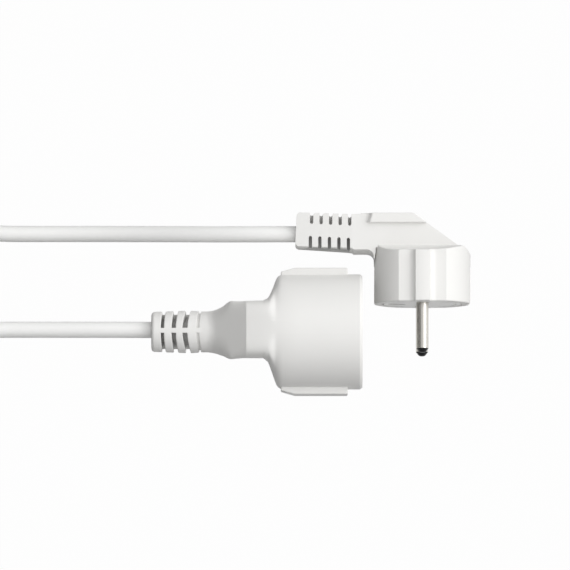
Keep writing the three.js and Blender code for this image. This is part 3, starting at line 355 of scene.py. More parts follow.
# smooth rise from (0, 0) through a table of (place, size) shares, never overshooting
def glide(table, share):
    places, sizes = (np.array(column, float) for column in zip((0, 0), *table))
    widths, rises = np.diff(places), np.diff(sizes)
    slopes = rises / widths
    tangents = np.concatenate(([slopes[0]], (slopes[1:] + slopes[:-1]) / 2, [slopes[-1]]))
    for i, slope in enumerate(slopes):
        top = 3 * abs(slope)
        tangents[i] = np.clip(tangents[i], -top, top)
        tangents[i + 1] = np.clip(tangents[i + 1], -top, top)
    share = np.clip(np.asarray(share, float), 0, 1)
    i = np.clip(np.searchsorted(places, share, side="right") - 1, 0, len(widths) - 1)
    t = (share - places[i]) / widths[i]
    return (sizes[i] * (2 * t**3 - 3 * t**2 + 1) + widths[i] * tangents[i] * (t**3 - 2 * t**2 + t)
            + sizes[i + 1] * (3 * t**2 - 2 * t**3) + widths[i] * tangents[i + 1] * (t**3 - t**2))


# how much of the way from start to end a place lies, from 0 to 1
def part(place, start, end):
    return np.clip((np.asarray(place, float) - start) / (end - start), 0, 1)


class Tree:
    def __init__(self, name, inputs):
        self.group = bpy.data.node_groups.new(name, "GeometryNodeTree")
        newSocket = self.group.interface.new_socket
        newSocket("Geometry", in_out="OUTPUT", socket_type="NodeSocketGeometry")
        newSocket("Path", in_out="INPUT", socket_type="NodeSocketGeometry")
        material = newSocket("Material", in_out="INPUT", socket_type="NodeSocketMaterial")
        self.keys = {"Material": material.identifier}
        for key, value in inputs.items():
            kind = {int: "Int", float: "Float"}.get(type(value), "Vector")
            socket = newSocket(key, in_out="INPUT", socket_type="NodeSocket" + kind)
            socket.default_value = value
            self.keys[key] = socket.identifier
        self.inputs = self.group.nodes.new("NodeGroupInput").outputs

    def node(self, kind, settings=None, sockets=None):
        return addNode(self.group, "GeometryNode" + kind, settings, sockets).outputs

    # the path as a curve with rounded corners, its section kept upright
    def bentPath(self):
        line = self.node("MeshToCurve", None, {"Mesh": self.inputs["Path"]})[0]
        bent = self.node("FilletCurve", {"mode": "POLY"}, {
            "Curve": line, "Count": self.inputs["Steps"], "Radius": self.inputs["Bend"], "Limit Radius": True})[0]
        return self.node("SetCurveNormal", {"mode": "Z_UP"}, {"Curve": bent})[0]

    # the tree's end: instances made real, then the material
    def close(self, geometry):
        real = self.node("RealizeInstances", None, {0: geometry})[0]
        painted = self.node("SetMaterial", None, {"Geometry": real, "Material": self.inputs["Material"]})[0]
        end = self.group.nodes.new("NodeGroupOutput")
        self.group.links.new(painted, end.inputs[0])

    # a plain mesh from the tree: its path and values go in, then it is evaluated once
    def grow(self, name, values, path=((0, 0, 0),), closed=False):
        count = len(path)
        edges = [(i, (i + 1) % count) for i in range(count if closed else count - 1)]
        made = meshFrom(name, path, [], edges)
        change = made.modifiers.new("grown", "NODES")
        change.node_group = self.group
        for key, value in values.items():
            change[self.keys[key]] = value
        return settle(made)


# a band or wire bent along a path, with a soft-edged section
def bandTree():
    tree = Tree("bentBand", {"Thickness": 0.6, "Width": 5.0, "Round": 0.1, "Bend": 1.0, "Steps": 6})
    i = tree.inputs
    section = tree.node("CurvePrimitiveQuadrilateral", None, {"Width": i["Thickness"], "Height": i["Width"]})[0]
    soft = tree.node("FilletCurve", {"mode": "POLY"}, {"Curve": section, "Count": 3, "Radius": i["Round"]})[0]
    band = {"Curve": tree.bentPath(), "Profile Curve": soft, "Fill Caps": True}
    tree.close(tree.node("CurveToMesh", None, band)[0])
    return tree


# webbing: threads side by side along a path
def webbingTree():
    tree = Tree("webbing", {
        "Threads": 12, "First": (0.0, -3.6, 0.0), "Step": (0.0, 0.65, 0.0), "Thread": 0.4, "Bend": 2.0, "Steps": 6})
    i = tree.inputs
    row = tree.node("MeshLine", {"mode": "OFFSET"}, {
        "Count": i["Threads"], "Start Location": i["First"], "Offset": i["Step"]})[0]
    thread = tree.node("CurvePrimitiveCircle", None, {"Resolution": 10, "Radius": i["Thread"]})[0]
    threads = tree.node("InstanceOnPoints", None, {"Points": row, "Instance": thread})[0]
    section = tree.node("RealizeInstances", None, {0: threads})[0]
    tree.close(tree.node("CurveToMesh", None, {"Curve": tree.bentPath(), "Profile Curve": section})[0])
    return tree


# the cord: one line from the coupling, through the coil, to the plug
cord = {"diameter": 6.4, "length": 1.95, "into": 4.0, "smooth": 6}
coil = {"centre": (-180, 9.7), "outerRadius": 41.5, "turns": 7.5, "layers": 4, "ringPitch": 6.95,
        "layerPitch": 6.85, "stepsPerTurn": 24, "lift": 1.1, "climbHalf": 0.25}
plugRoute = [
    (-6.5, 27.88, 19.2), (-14, 27.88, 19.1), (-24, 27.92, 18.4), (-35, 28.05, 16.6), (-47, 28.35, 13.7),
    (-59, 28.7, 10.3), (-71, 29, 7.2), (-83, 29.22, 5), (-96, 29.33, 3.75), (-110, 29.35, 3.45),
    (-124, 29.35, 3.45), (-132.2, 30.65, 3.55), (-139.6, 34.41, 3.7), (-145.4, 40.27, 3.85),
    (-151.3, 46.14, 4.02), (-158.7, 49.9, 4.2), (-166.9, 51.2, 4.3), (-173.3, 51.2, 4.3)]
couplingRoute = [
    (-63.1, -10.2, 22.64), (-70, -10.17, 22.6), (-80, -10.1, 22.3), (-92, -10.05, 21.7), (-105, -10, 21.2),
    (-118, -10, 21.1), (-124, -10, 21.3), (-132.2, -11.3, 22), (-139.6, -15.06, 22.8), (-145.4, -20.92, 23.5),
    (-151.3, -26.74, 24.1), (-158.7, -30.5, 24.6), (-166.9, -31.8, 24.85), (-173.3, -31.8, 24.85)]


# a point of the coil: layers wound inwards and outwards in turn, each on top of the one before
def coilPoint(turn):
    perLayer = coil["turns"] / coil["layers"]
    layer = min(int(turn / perLayer), coil["layers"] - 1)
    share = turn / perLayer - layer
    depth = share if layer % 2 == 0 else 1 - share
    radius = coil["outerRadius"] - coil["ringPitch"] * perLayer * depth
    ease, climb = coil["climbHalf"], 0
    for n in range(1, coil["layers"]):
        climb += float(part(turn, n * perLayer - ease, n * perLayer + ease))
    angle = math.pi / 2 + 2 * math.pi * turn
    return (coil["centre"][0] + radius * math.cos(angle), coil["centre"][1] + radius * math.sin(angle),
            cord["diameter"] / 2 + coil["lift"] + coil["layerPitch"] * climb)


def makeCord():
    steps = round(coil["turns"] * coil["stepsPerTurn"])
    turns = [coilPoint(coil["turns"] * i / steps) for i in range(steps + 1)]
    first = [(couplingRoute[0][0] + cord["into"], *couplingRoute[0][1:])]
    last = [(plugRoute[0][0] + cord["into"], *plugRoute[0][1:])]
    points = first + couplingRoute + turns[::-1] + plugRoute[::-1] + last
    line = bpy.data.curves.new("cordLine", "CURVE")
    line.dimensions = "3D"
    line.bevel_depth = cord["diameter"] / 2 * mm
    line.bevel_resolution = line.resolution_u = cord["smooth"]
    line.use_fill_caps = True
    spline = line.splines.new("NURBS")
    spline.points.add(len(points) - 1)
    for point, place in zip(spline.points, points):
        point.co = (*(c * mm for c in place), 1)
    spline.order_u = 4
    spline.use_endpoint_u = True
    spline.use_smooth = True
    made = placed("mains_cord", line)
    line.materials.append(finishes["white_sheath"])
    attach(made, "case")
    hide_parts("cord_coupling_stretch", "cord_coil", "cord_plug_stretch")
    return made


# ties: woven bands round the whole bundle of turns
tie = {"width": 8, "thickness": 0.8, "clear": 0.7, "corner": 2.2, "cornerSteps": 8, "threads": 13}


def makeTies():
    t, c = tie, coil
    tree, made = webbingTree(), []
    inward = c["ringPitch"] * c["turns"] / c["layers"]
    half = (inward + cord["diameter"]) / 2 + t["clear"]
    low = c["lift"] - t["clear"]
    high = c["lift"] + c["layerPitch"] * (c["layers"] - 1) + cord["diameter"] + t["clear"]
    across = t["width"] - t["thickness"]
    sizes = {
        "Threads": t["threads"], "First": (0.0, -across / 2, 0.0), "Step": (0.0, across / (t["threads"] - 1), 0.0),
        "Thread": t["thickness"] / 2, "Bend": t["corner"], "Steps": t["cornerSteps"],
        "Material": finishes["black_tie"]}
    upright = Matrix.Translation((0, c["centre"][1], 0)) @ Matrix.Rotation(math.radians(90), 4, "X")
    for name, side in (("left", -1), ("right", 1)):
        middle = c["centre"][0] + side * (c["outerRadius"] - inward / 2)
        path = [(middle + x * half, y, 0) for x, y in ((-1, low), (1, low), (1, high), (-1, high))]
        band = tree.grow("tie_" + name + "_woven", sizes, path, True)
        band.data.transform(upright)
        made.append(finished(tidy(band, crease=40), "black_tie", "coil_tie_" + name))
    return made


mainsCord = makeCord()
ties = makeTies()
print("cord laid:", cord["length"], "m")


poleRadius = 0.02  # the ends of a profile stay this far from its axis
overrun = 1  # how far a cutter reaches past what it cuts
tiny = 0.01  # a gap that counts as none
# points round each kind of round cutter
segments = {"bore": 144, "seat": 128, "chamber": 96, "hole": 64, "cableWay": 48, "axle": 48, "way": 32}


# rings of (place, radius) pairs turned about an axis; a looped profile closes on itself
def turned(name, profile, count, axis="X", middle=(0, 0), looped=False, inset=None):
    turns = np.arange(count) * 2 * math.pi / count
    rings = []
    for place, radius in profile:
        r = radius - inset(turns, place) if inset else radius
        a, b = middle[0] + r * np.cos(turns), middle[1] + r * np.sin(turns)
        x = np.full(count, float(place))
        rings.append(np.stack((x, a, b) if axis == "X" else (b, x, a), axis=1))
    return tidy(skin(name, rings, looped))


# solids for cutting: a rod along one axis, and a block between two corners
def rod(name, radius, start, end, middle=(0, 0), axis="X"):
    return turned(name, [(start, radius), (end, radius)], segments[name], axis, middle)


def block(name, low, high):
    points = [(x, y, z) for x in (low[0], high[0]) for y in (low[1], high[1]) for z in (low[2], high[2])]
    faces = [(0, 1, 3, 2), (4, 6, 7, 5), (0, 4, 5, 1), (2, 3, 7, 6), (0, 2, 6, 4), (1, 5, 7, 3)]
    return tidy(meshFrom(name, points, faces))


# the first piece, with the others joined to it
def united(*pieces):
    whole = pieces[0]
    for other in pieces[1:]:
        combine(whole, other, "UNION")
    return whole


# rounded edges, where faces meet at more than an angle
def softened(piece, width, steps=3, angle=30):
    change = piece.modifiers.new("softened", "BEVEL")
    change.width, change.segments, change.limit_method = width, steps, "ANGLE"
    change.angle_limit, change.harden_normals = math.radians(angle), False
    return settle(piece)


# a flat outline of (x, y) pairs, drawn out along Z
def slab(name, outline, low, high):
    return tidy(skin(name, [[(x, y, z) for x, y in outline] for z in (low, high)]))


def arc(middle, radius, start, end, steps):
    turns = np.radians(np.linspace(start, end, steps + 1))
    return [(middle[0] + radius * math.cos(t), middle[1] + radius * math.sin(t)) for t in turns]


# a rounded edge as (inset from one face, inset from the other) pairs
def roundEdge(size, steps):
    return [(size * (1 - math.sin(t)), size * (1 - math.cos(t))) for t in np.radians(np.linspace(0, 90, steps + 1))]


# coupling body: along its axis from the cord end
coupling = {
    "origin": (-62.8, -10.98, 22.64), "length": 83, "cupRadius": 22.64, "tailRadius": 7.85, "tailRound": 1.3,
    "ribRadius": 8.4, "ribsPeakAt": 13.7, "collarStart": 19.2, "collarRadius": 8.05, "collarEnd": 22.2,
    "flareEnd": 35.8, "shoulderAt": 37.4, "shoulderHeight": 20, "shoulderBend": 0.24, "neckHalfWidth": 10.35,
    "neckEnd": 44, "neckPower": 5, "sideDraft": 0.084, "cupStart": 53, "crownEnd": 57.5,
    "rimRound": 1.2, "rimRadius": 21.85, "angles": 184, "cordOffset": 0.75, "boreRadius": 20.9}
flareShares = [(0.16, 0.12), (0.31, 0.36), (0.45, 0.66), (0.57, 1), (0.65, 1.14), (0.82, 1.07), (1, 1)]
cupShares = [(0.12, 0.07), (0.21, 0.13), (0.3, 0.29), (0.47, 0.65), (0.56, 0.83), (0.64, 0.92), (0.75, 0.975), (1, 1)]
rimShares = [(0.2, 0.06), (0.45, 0.3), (0.85, 0.8), (1, 1)]
ringSpacing = {  # counts and steps of the skin's rings, along each stretch
    "tail": 7, "wallStep": 0.05, "flareFrom": 1, "flareStep": 0.4, "shoulderGap": 0.12, "neckFrom": 0.5, "neck": 12,
    "swellStep": 0.3, "crown": 10, "cup": 8, "rim": 12}
# the last four values set the painted shade on the grooves' floors
groove = {
    "places": (4.35, 8.8, 13.2, 18.25), "widths": (1.2, 1.6, 1.85, 0.9), "floors": (4.3, 4.5, 4.8, 7.2),
    "leans": ((0, 0), (2, 0.3), (4.35, 0.65), (8.8, 0.9), (13.2, 1.5), (18.25, 1.0), (21.5, 0)),  # place, lean
    "webFloor": 6.75, "spine": 7.1, "web": 10.7, "wall": 0.45, "wallClear": 1.1,
    "shadeStrength": 0.4, "shadeEnd": 20.7, "shadeInner": 3.95, "shadeOuter": 7.55}
edgeInsets = ((0.5, 0), (0.3, 0.02), (0.15, 0.09), (0.05, 0.2), (0, 0.36))  # gap to the groove's wall, inset


# half width, half height, squareness and side draft of the section at a place
def couplingSizes(place):
    c = coupling
    tailPlaces = (0, c["ribsPeakAt"], c["collarStart"])
    tail = np.interp(place, tailPlaces, (c["tailRadius"], c["ribRadius"], c["collarRadius"]))
    flare = glide(flareShares, part(place, c["collarEnd"], c["flareEnd"]))
    run, bend = part(place, c["collarEnd"], c["shoulderAt"]), c["shoulderBend"]
    rise = np.where(run < bend, run**2 / (2 * bend), run - bend / 2) / (1 - bend / 2)
    swell = glide(cupShares, part(place, c["neckEnd"], c["cupStart"]))
    width = tail + (c["neckHalfWidth"] - tail) * flare
    crown = np.sin(part(place, c["shoulderAt"], c["crownEnd"]) * math.pi / 2)
    height = tail + (c["shoulderHeight"] - tail) * rise
    rim = glide(rimShares, part(place, c["length"] - c["rimRound"], c["length"])) * (c["cupRadius"] - c["rimRadius"])
    end = 1 - part(place, 0, c["tailRound"])
    inset = rim + c["tailRound"] * (1 - np.sqrt(1 - end**2))
    width = width + (c["cupRadius"] - width) * swell - inset
    height = height + (c["cupRadius"] - height) * crown - inset
    square = flare * (1 - swell) ** 2
    return width, height, 2 + (c["neckPower"] - 2) * square, c["sideDraft"] * square


# how deep each point of a ring lies in the strain relief's grooves
def grooveDepth(place, fromSpine, radius):
    g = groove
    depth = 0
    for middle, width, floor in zip(g["places"], g["widths"], g["floors"]):
        away = abs(place - middle) - width / 2
        if away > edgeInsets[0][0]:
            continue
        opened = part(fromSpine, g["spine"] - g["wall"], g["spine"] + g["wall"])
        side = part(90 - fromSpine, g["web"] - g["wall"], g["web"] + g["wall"])
        base = max(floor, g["webFloor"]) + (floor - max(floor, g["webFloor"])) * side
        whole = (radius - base) * opened
        if away > -tiny:
            whole = np.minimum(whole, np.interp(away, *zip(*reversed(edgeInsets))))
        depth = np.maximum(depth, whole)
    return depth


# the places of the skin's rings, closer together where the shape turns
def couplingStations():
    c, s = coupling, ringSpacing
    stations = {0.0, *np.linspace(0, c["tailRound"], s["tail"])}
    for middle, width in zip(groove["places"], groove["widths"]):
        for side in (-1, 1):
            stations.update(middle + side * (width / 2 + gap) for gap, _ in edgeInsets)
            stations.add(middle + side * (width / 2 - s["wallStep"]))
        stations.add(middle)
    stations.update(np.arange(c["collarStart"] + s["flareFrom"], c["shoulderAt"], s["flareStep"]))
    stations.update((c["shoulderAt"] - s["shoulderGap"], c["shoulderAt"] + s["shoulderGap"]))
    stations.update(np.linspace(c["shoulderAt"] + s["neckFrom"], c["neckEnd"], s["neck"]))
    stations.update(np.arange(c["neckEnd"], c["cupStart"], s["swellStep"]))
    stations.update(np.linspace(c["cupStart"], c["crownEnd"], s["crown"]))
    stations.update(np.linspace(c["crownEnd"], c["length"] - c["rimRound"], s["cup"]))
    stations.update(np.linspace(c["length"] - c["rimRound"], c["length"], s["rim"]))
    return sorted(stations)


# the angles of a ring's points, with pairs at the walls of the grooves
def ringAngles():
    g = groove
    lines = list(np.linspace(0, 90, coupling["angles"] // 4, endpoint=False))
    for border in (90 - g["spine"], g["web"]):
        lines = [a for a in lines if abs(a - border) > g["wallClear"]]
        lines += [border - g["wall"], border + g["wall"]]
    quarter = sorted(lines)
    mirrored = [180 - a for a in reversed(quarter) if a > 0]
    half = quarter + [90.0] + mirrored
    return np.radians(np.array(half + [a + 180 for a in half]))


def couplingSkin():
    turns = ringAngles()
    cosine, sine = np.cos(turns), np.sin(turns)
    fromSpine = np.degrees(np.arccos(np.clip(np.abs(sine), 0, 1)))
    rings = []
    for place in couplingStations():
        width, height, power, draft = couplingSizes(place)
        reach = ((np.abs(cosine) / width) ** power + (np.abs(sine) / height) ** power) ** (-1 / power)
        y, z = reach * cosine, reach * sine
        y = y * (width + draft * z) / width
        radius = np.hypot(y, z)
        shrink = (radius - grooveDepth(place, fromSpine, radius)) / radius
        lean = np.interp(place, *zip(*groove["leans"]))
        rings.append(np.stack((place + lean * cosine**2, y * shrink, z * shrink), axis=1))
    return tidy(skin("coupling_shell", rings))


# flat ridges along both sides of the cup, as outlines seen from above
ridge = {
    "outline": ((50.9, 21.4), (50.9, 23.4), (56.4, 24.97), (77.2, 24.97), (77.2, 21.4)), "half": 4.7, "soft": 0.55}


def couplingRidge(side):
    outline = [(x, side * y) for x, y in ridge["outline"]]
    return tidy(softened(slab("ridge", outline, -ridge["half"], ridge["half"]), ridge["soft"]))


# the hollows behind the recess, as one tool: bore, cable way, wire chamber and contact ways
couplingHollow = {
    "boreFrom": 52.7, "cableWay": 3.45, "cableEnd": 36.3, "chamber": ((36.2, -4.2, -13.2), (43.5, 7.9, 13.2)),
    "ways": ((1.6, 42.5, (6, 0)), (3.6, 42.7, (0, 9.5)), (3.6, 42.7, (0, -9.5))), "wayEnd": 53}  # radius, start, middle


def couplingHollowTool():
    h, c = couplingHollow, coupling
    bore = rod("bore", c["boreRadius"], h["boreFrom"], c["length"] + overrun)
    cableWay = rod("cableWay", h["cableWay"], -overrun, h["cableEnd"], (c["cordOffset"], 0))
    ways = [rod("way", radius, start, h["wayEnd"], middle) for radius, start, middle in h["ways"]]
    return united(bore, cableWay, block("chamber", *h["chamber"]), *ways)


def makeCouplingBody():
    c, g = coupling, groove
    body = united(couplingSkin(), couplingRidge(1), couplingRidge(-1))
    body = evened(tidy(combine(body, couplingHollowTool()), crease=30))
    body.name = "coupling_moulding"

    # painted shade on the grooves' floors, darker the deeper they lie
    def depth(x, y, z):
        radius = np.hypot(y, z)
        inside = (x > c["tailRound"]) & (x < g["shadeEnd"]) & (radius > g["shadeInner"])
        return inside * g["shadeStrength"] * (g["shadeOuter"] - radius) / (c["tailRadius"] - min(g["floors"]))

    finished(pocketed(body, depth), "white_plastic", "coupling_body", c["origin"])


makeCouplingBody()
print("coupling body made")


# bands and wires: sizes are a dictionary's own thickness, width, round, bend and steps
bands = bandTree()


def bentBand(name, sizes, slot, path):
    values = {key: sizes[key.lower()] for key in ("Thickness", "Width", "Round", "Bend", "Steps")}
    return bands.grow(name, {**values, "Material": finishes[slot]}, path)


# recess: floor with countersunk holes, and a lining with four guide ribs
recess = {
    "radius": 19.5, "outer": 20.6, "floorAt": 65.5, "stepAt": 64.5, "backAt": 63.5, "skirtFrom": 58.8,
    "skirtInner": 19.4, "gap": 0.3, "liningTo": 82.6, "lip": 0.4, "lipSteps": 5, "chamfer": 0.2, "floorEdge": 0.25,
    "hole": 3.0, "sink": 0.45, "pinPlace": 9.5, "armHalf": 3.4, "armInner": 17.4, "armTo": 80,
    "ribPlace": 6, "ribHalf": 1, "ribTop": 17, "ribLead": 1.4, "ribShort": 0.3, "ribSunk": 0.1, "ribSoft": 0.22,
    "segments": 192}


def guideRibs(start, end, grow, lead):
    r, ribs = recess, []
    top, root = r["ribTop"] - grow, r["radius"] + r["ribSunk"] + grow
    profile = ((start, root), (start, top), (end - lead, top), (end, top + lead), (end, root))
    for side in (1, -1):
        for place in (r["ribPlace"], -r["ribPlace"]):
            outline = [(x, side * y) for x, y in profile]
            rib = slab("rib", outline, place - r["ribHalf"] - grow, place + r["ribHalf"] + grow)
            rib.data.transform(Matrix.Rotation(math.radians(90), 4, "X"))
            ribs.append(tidy(softened(rib, r["ribSoft"], steps=2)) if lead else rib)
    return ribs


def armSlots():
    r, tools = recess, []
    for side in (1, -1):
        near, far = sorted((side * r["armInner"], side * (r["outer"] + overrun)))
        tools.append(block("arm_slot", (r["backAt"] - overrun, near, -r["armHalf"]), (r["armTo"], far, r["armHalf"])))
    return tools


def makeLining():
    r = recess
    back, front, lip, edge = r["stepAt"] + r["gap"], r["liningTo"], r["lip"], r["chamfer"]
    ring = [(back, r["radius"]), (back, r["outer"]), (front - edge, r["outer"]), (front, r["outer"] - edge)]
    ring += [(front - along, r["radius"] + out) for along, out in reversed(roundEdge(lip, r["lipSteps"]))]
    lining = turned("recess_lining_fine", ring, r["segments"], looped=True)
    united(lining, *guideRibs(back, front - r["ribShort"], 0, r["ribLead"]))
    for slot in armSlots():
        combine(lining, slot)
    finished(evened(tidy(lining)), "white_hard_plastic", "recess_lining", coupling["origin"])


def makeInsert():
    r, floor = recess, recess["floorAt"]
    rim, edge, narrow, wide = r["radius"] - r["gap"], r["floorEdge"], r["hole"], r["hole"] + r["sink"]
    profile = [
        (r["backAt"], poleRadius), (r["backAt"], r["skirtInner"]), (r["skirtFrom"], r["skirtInner"]),
        (r["skirtFrom"], r["outer"]), (r["stepAt"], r["outer"]), (r["stepAt"], rim), (floor - edge, rim),
        (floor, rim - edge), (floor, poleRadius)]
    insert = turned("coupling_insert_fine", profile, r["segments"])
    hole = [(r["backAt"] - overrun, narrow), (floor - r["sink"], narrow), (floor, wide), (floor + overrun, wide)]
    tools = [turned("hole", hole, segments["hole"], middle=(0, side * r["pinPlace"])) for side in (1, -1)]
    for tool in tools + armSlots() + guideRibs(r["stepAt"], floor + overrun, r["gap"], 0):
        combine(insert, tool)
    finished(evened(tidy(insert)), "white_hard_plastic", "coupling_insert", coupling["origin"])


# earth bow: one strip with two sprung arms, seen as (along, across) points of its upper half
earthBow = {
    "thickness": 0.6, "width": 5.0, "bend": 1.0, "round": 0.12, "steps": 6, "axle": 1.8, "axleSpan": (58, 61),
    "path": ((80, 19.2), (78.4, 19.15), (72, 17.2), (65.5, 18.2), (59.1, 18.0))}


def makeEarthBow():
    upper = [(x, y, 0) for x, y in earthBow["path"]]
    lower = [(x, -y, 0) for x, y, _ in reversed(upper)]
    bow = bentBand("earth_bow_fine", earthBow, "nickel", upper + lower)
    combine(tidy(bow), rod("axle", earthBow["axle"], *earthBow["axleSpan"]))
    finished(tidy(bow), "nickel", "earth_bow", coupling["origin"])


# the shutter's spring: a wire wound about the axle
spring = {
    "thickness": 0.4, "width": 0.4, "round": 0.196, "bend": 0.0, "steps": 1, "radius": 2.6, "turns": 1.25,
    "points": 60, "start": 59.9, "end": 61.1}


def makeSpring():
    s, path = spring, []
    for share in np.linspace(0, 1, s["points"]):
        turn = 2 * math.pi * s["turns"] * share
        along = s["start"] + (s["end"] - s["start"]) * share
        path.append((along, s["radius"] * math.cos(turn), s["radius"] * math.sin(turn)))
    wire = bentBand("shutter_spring_fine", s, "spring_steel", path)
    finished(tidy(wire, crease=60), "spring_steel", "shutter_spring", coupling["origin"])


makeLining()
makeInsert()
makeEarthBow()
makeSpring()
print("recess made")


# plug body: from the middle of its pin face; its pins point to -Y
plug = {
    "origin": (43.75, 0.18, 19.05), "drumRadius": 19.05, "faceRound": 0.6, "topRound": 0.5, "half": 7.5, "endHalf": 5.9,
    "ledge": 22.85, "ledgeSlope": 0.44, "ledgeBend": 0.0186, "ledgeRise": 21, "roofRings": (2, 4, 6, 8, 10, 12),
    "flat": 16.6, "ribHalf": 2.7, "ribFoot": 2.8, "ribFootEnd": 192, "ribClear": 0.05,
    "outlineSteps": (26, 7, 9, 5), "edgeSteps": (5, 4), "wallShares": (0.25, 0.5, 0.75), "handleSteps": 6,
    "noseStart": -2.99, "noseEnd": 13.98, "noseFoot": 22.85, "shoulderDrop": 3.05, "back": 35.1,
    "handleEnd": -49.93, "handleTop": 35.85, "handleBottom": 21.6, "handleRound": 1.5, "endLean": 0.5,
    "endDraft": 0.8, "rootDraft": 1.5, "draftBelow": 24.5, "rootX": -27.6, "rootBottom": 20.22,
    "rootBlend": (1.2, 0.08, 0.12, 0.04), "stepX": -27, "stepBottom": 19.6,
    "throatX": -19, "throatRadius": 3, "throatSteps": 10,
    "web": ((0.35, 18.2), (0.65, 20), (0.75, 21.85), (19, 21.85)), "cordHeight": 27.7, "edge": 0.95}
plate = {"half": 9.4, "left": -20.7, "lean": 1.2, "top": 35.45, "bottom": 31.65, "foot": 3.5, "sunk": 0.1, "edge": 0.4}
plateEndShares = [(0, 0), (0.27, 0.005), (0.4, 0.03), (0.52, 0.08), (0.62, 0.14), (0.71, 0.22), (1, 1)]  # run, rise


# the drum seen along its axis: round, with flat flanks above and below and a rib in the middle of each
def drumOutline():
    p, radius = plug, plug["drumRadius"]
    roundSteps, flatSteps, footSteps, ribSteps = p["outlineSteps"]
    corner = math.degrees(math.acos(p["flat"] / radius))
    ribEdge = math.degrees(math.asin((p["ribHalf"] + p["ribClear"]) / radius))
    middle = (p["ribHalf"] + p["ribFoot"], p["flat"] + p["ribFoot"])
    quarter = arc((0, 0), radius, 0, 90 - corner, roundSteps)
    quarter += [(x, p["flat"]) for x in np.linspace(quarter[-1][0], middle[0], flatSteps)[1:]]
    quarter += arc(middle, p["ribFoot"], 270, p["ribFootEnd"], footSteps)[1:]
    quarter += arc((0, 0), radius, 90 - ribEdge, 90, ribSteps)
    left = [(-x, z) for x, z in reversed(quarter[:-1])]
    top = quarter + left
    return np.array(top + [(-x, -z) for x, z in top[1:-1]])


# how high the drum's roof is: a ledge that falls away from the slab, and a round shoulder past the nose
def drumTop(x, z):
    p = plug
    out = np.maximum(np.abs(z) - p["half"], 0)
    fall = (p["ledgeSlope"] - p["ledgeBend"] * out) * out * (1 - (np.maximum(x, 0) / p["ledgeRise"])**2)
    run = np.maximum(x - p["noseEnd"], 0) / (p["drumRadius"] - p["noseEnd"])
    return np.minimum(p["ledge"] - fall, p["noseFoot"] - p["shoulderDrop"] * run**2)


def plugDrum():
    p = plug
    outline, rings = drumOutline(), []

    # a ring at a share of the way from a base height to the roof, and a drop below that
    def ring(inset, base, share=0, drop=0):
        shrunk = outline * (1 - inset / p["drumRadius"])
        tall = base + (drumTop(*shrunk.T) - base) * share - drop
        rings.append(np.stack((shrunk[:, 0], tall, shrunk[:, 1]), axis=1))

    faceSteps, topSteps = p["edgeSteps"]
    for inset, height in roundEdge(p["faceRound"], faceSteps):
        ring(inset, height)
    for share in p["wallShares"]:
        ring(0, p["faceRound"], share)
    for drop, inset in roundEdge(p["topRound"], topSteps):
        ring(inset, 0, 1, drop)
    for inset in p["roofRings"]:
        ring(inset, 0, 1)
    return tidy(skin("plug_drum", rings))


# handle, grip and nose seen along Z, from the handle's lower corner round to its upper one
def slabOutline():
    p = plug
    throat = (p["throatX"] - p["throatRadius"], p["stepBottom"] - p["throatRadius"])
    r, end, (run, rise, dip, swell) = p["handleRound"], p["handleEnd"], p["rootBlend"]
    outline = arc((end + r, p["handleBottom"] + r), r, 180, 270, p["handleSteps"])
    outline += [
        (p["rootX"] - run, p["rootBottom"] + rise), (p["rootX"], p["rootBottom"] - dip), (p["stepX"], p["stepBottom"])]
    outline += arc(throat, p["throatRadius"], 90, 0, p["throatSteps"])
    outline += [(p["throatX"] + out, y) for out, y in p["web"]]
    outline += [
        (p["noseEnd"], p["web"][-1][1]), (p["noseEnd"], p["noseFoot"]), (p["noseStart"], p["back"]),
        (p["rootX"], p["back"]), (p["rootX"] - run, p["back"] + swell)]
    outline += arc((end + r + p["endLean"], p["handleTop"] - r), r, 90, 180, p["handleSteps"])
    return outline


# the slab with soft edges, a drafted lower wall, and a handle that thins towards the cord
def plugSlab():
    p = plug
    made = tidy(softened(slab("plug_slab", slabOutline(), -p["half"], p["half"]), p["edge"], steps=5, angle=40))
    work = bmesh.new()
    work.from_mesh(made.data)

    def isLower(point):
        return point.co.y < p["draftBelow"] and point.co.x < p["throatX"] - tiny

    def split(geometry, normal):
        bmesh.ops.bisect_plane(work, geom=geometry, plane_co=(p["rootX"], 0, 0), plane_no=normal)

    # cuts at the root and, in the lower wall, along the middle, so that each can bend there
    split([*work.verts, *work.edges, *work.faces], (1, 0, 0))
    wall = [face for face in work.faces if all(isLower(point) for point in face.verts)]
    ends = {point for face in wall for point in face.verts}
    sides = {edge for face in wall for edge in face.edges}
    split([*ends, *sides, *wall], (0, 0, 1))
    for point in work.verts:
        share = float(part(point.co.x, p["handleEnd"], p["rootX"]))
        if isLower(point):
            draft = p["endDraft"] + (p["rootDraft"] - p["endDraft"]) * share
            point.co.y += draft * abs(point.co.z) / p["half"]
        point.co.z *= p["endHalf"] / p["half"] + (1 - p["endHalf"] / p["half"]) * share
    work.to_mesh(made.data)
    work.free()
    return tidy(made)


# where the slanted nose lies at a height
def noseX(height):
    p = plug
    return p["noseStart"] + (p["back"] - height) * (p["noseEnd"] - p["noseStart"]) / (p["back"] - p["noseFoot"])


# the raised plate on both faces, with a slanted end that climbs in an easy curve
def gripPlate():
    g = plate
    sunk, rings = plug["half"] - g["sunk"], []
    for height in (g["bottom"], g["top"]):
        edge = []
        for run, climb in plateEndShares:
            lean = g["lean"] * (height - g["bottom"]) / (g["top"] - g["bottom"]) * run
            edge.append((g["left"] + lean - g["foot"] * (1 - run), sunk + (g["half"] - sunk) * climb))
        edge.append((noseX(height), g["half"]))
        loop = edge + [(x, -z) for x, z in reversed(edge)]
        rings.append([(x, height, z) for x, z in loop])
    return tidy(softened(tidy(skin("grip_plate", rings)), g["edge"], angle=35))
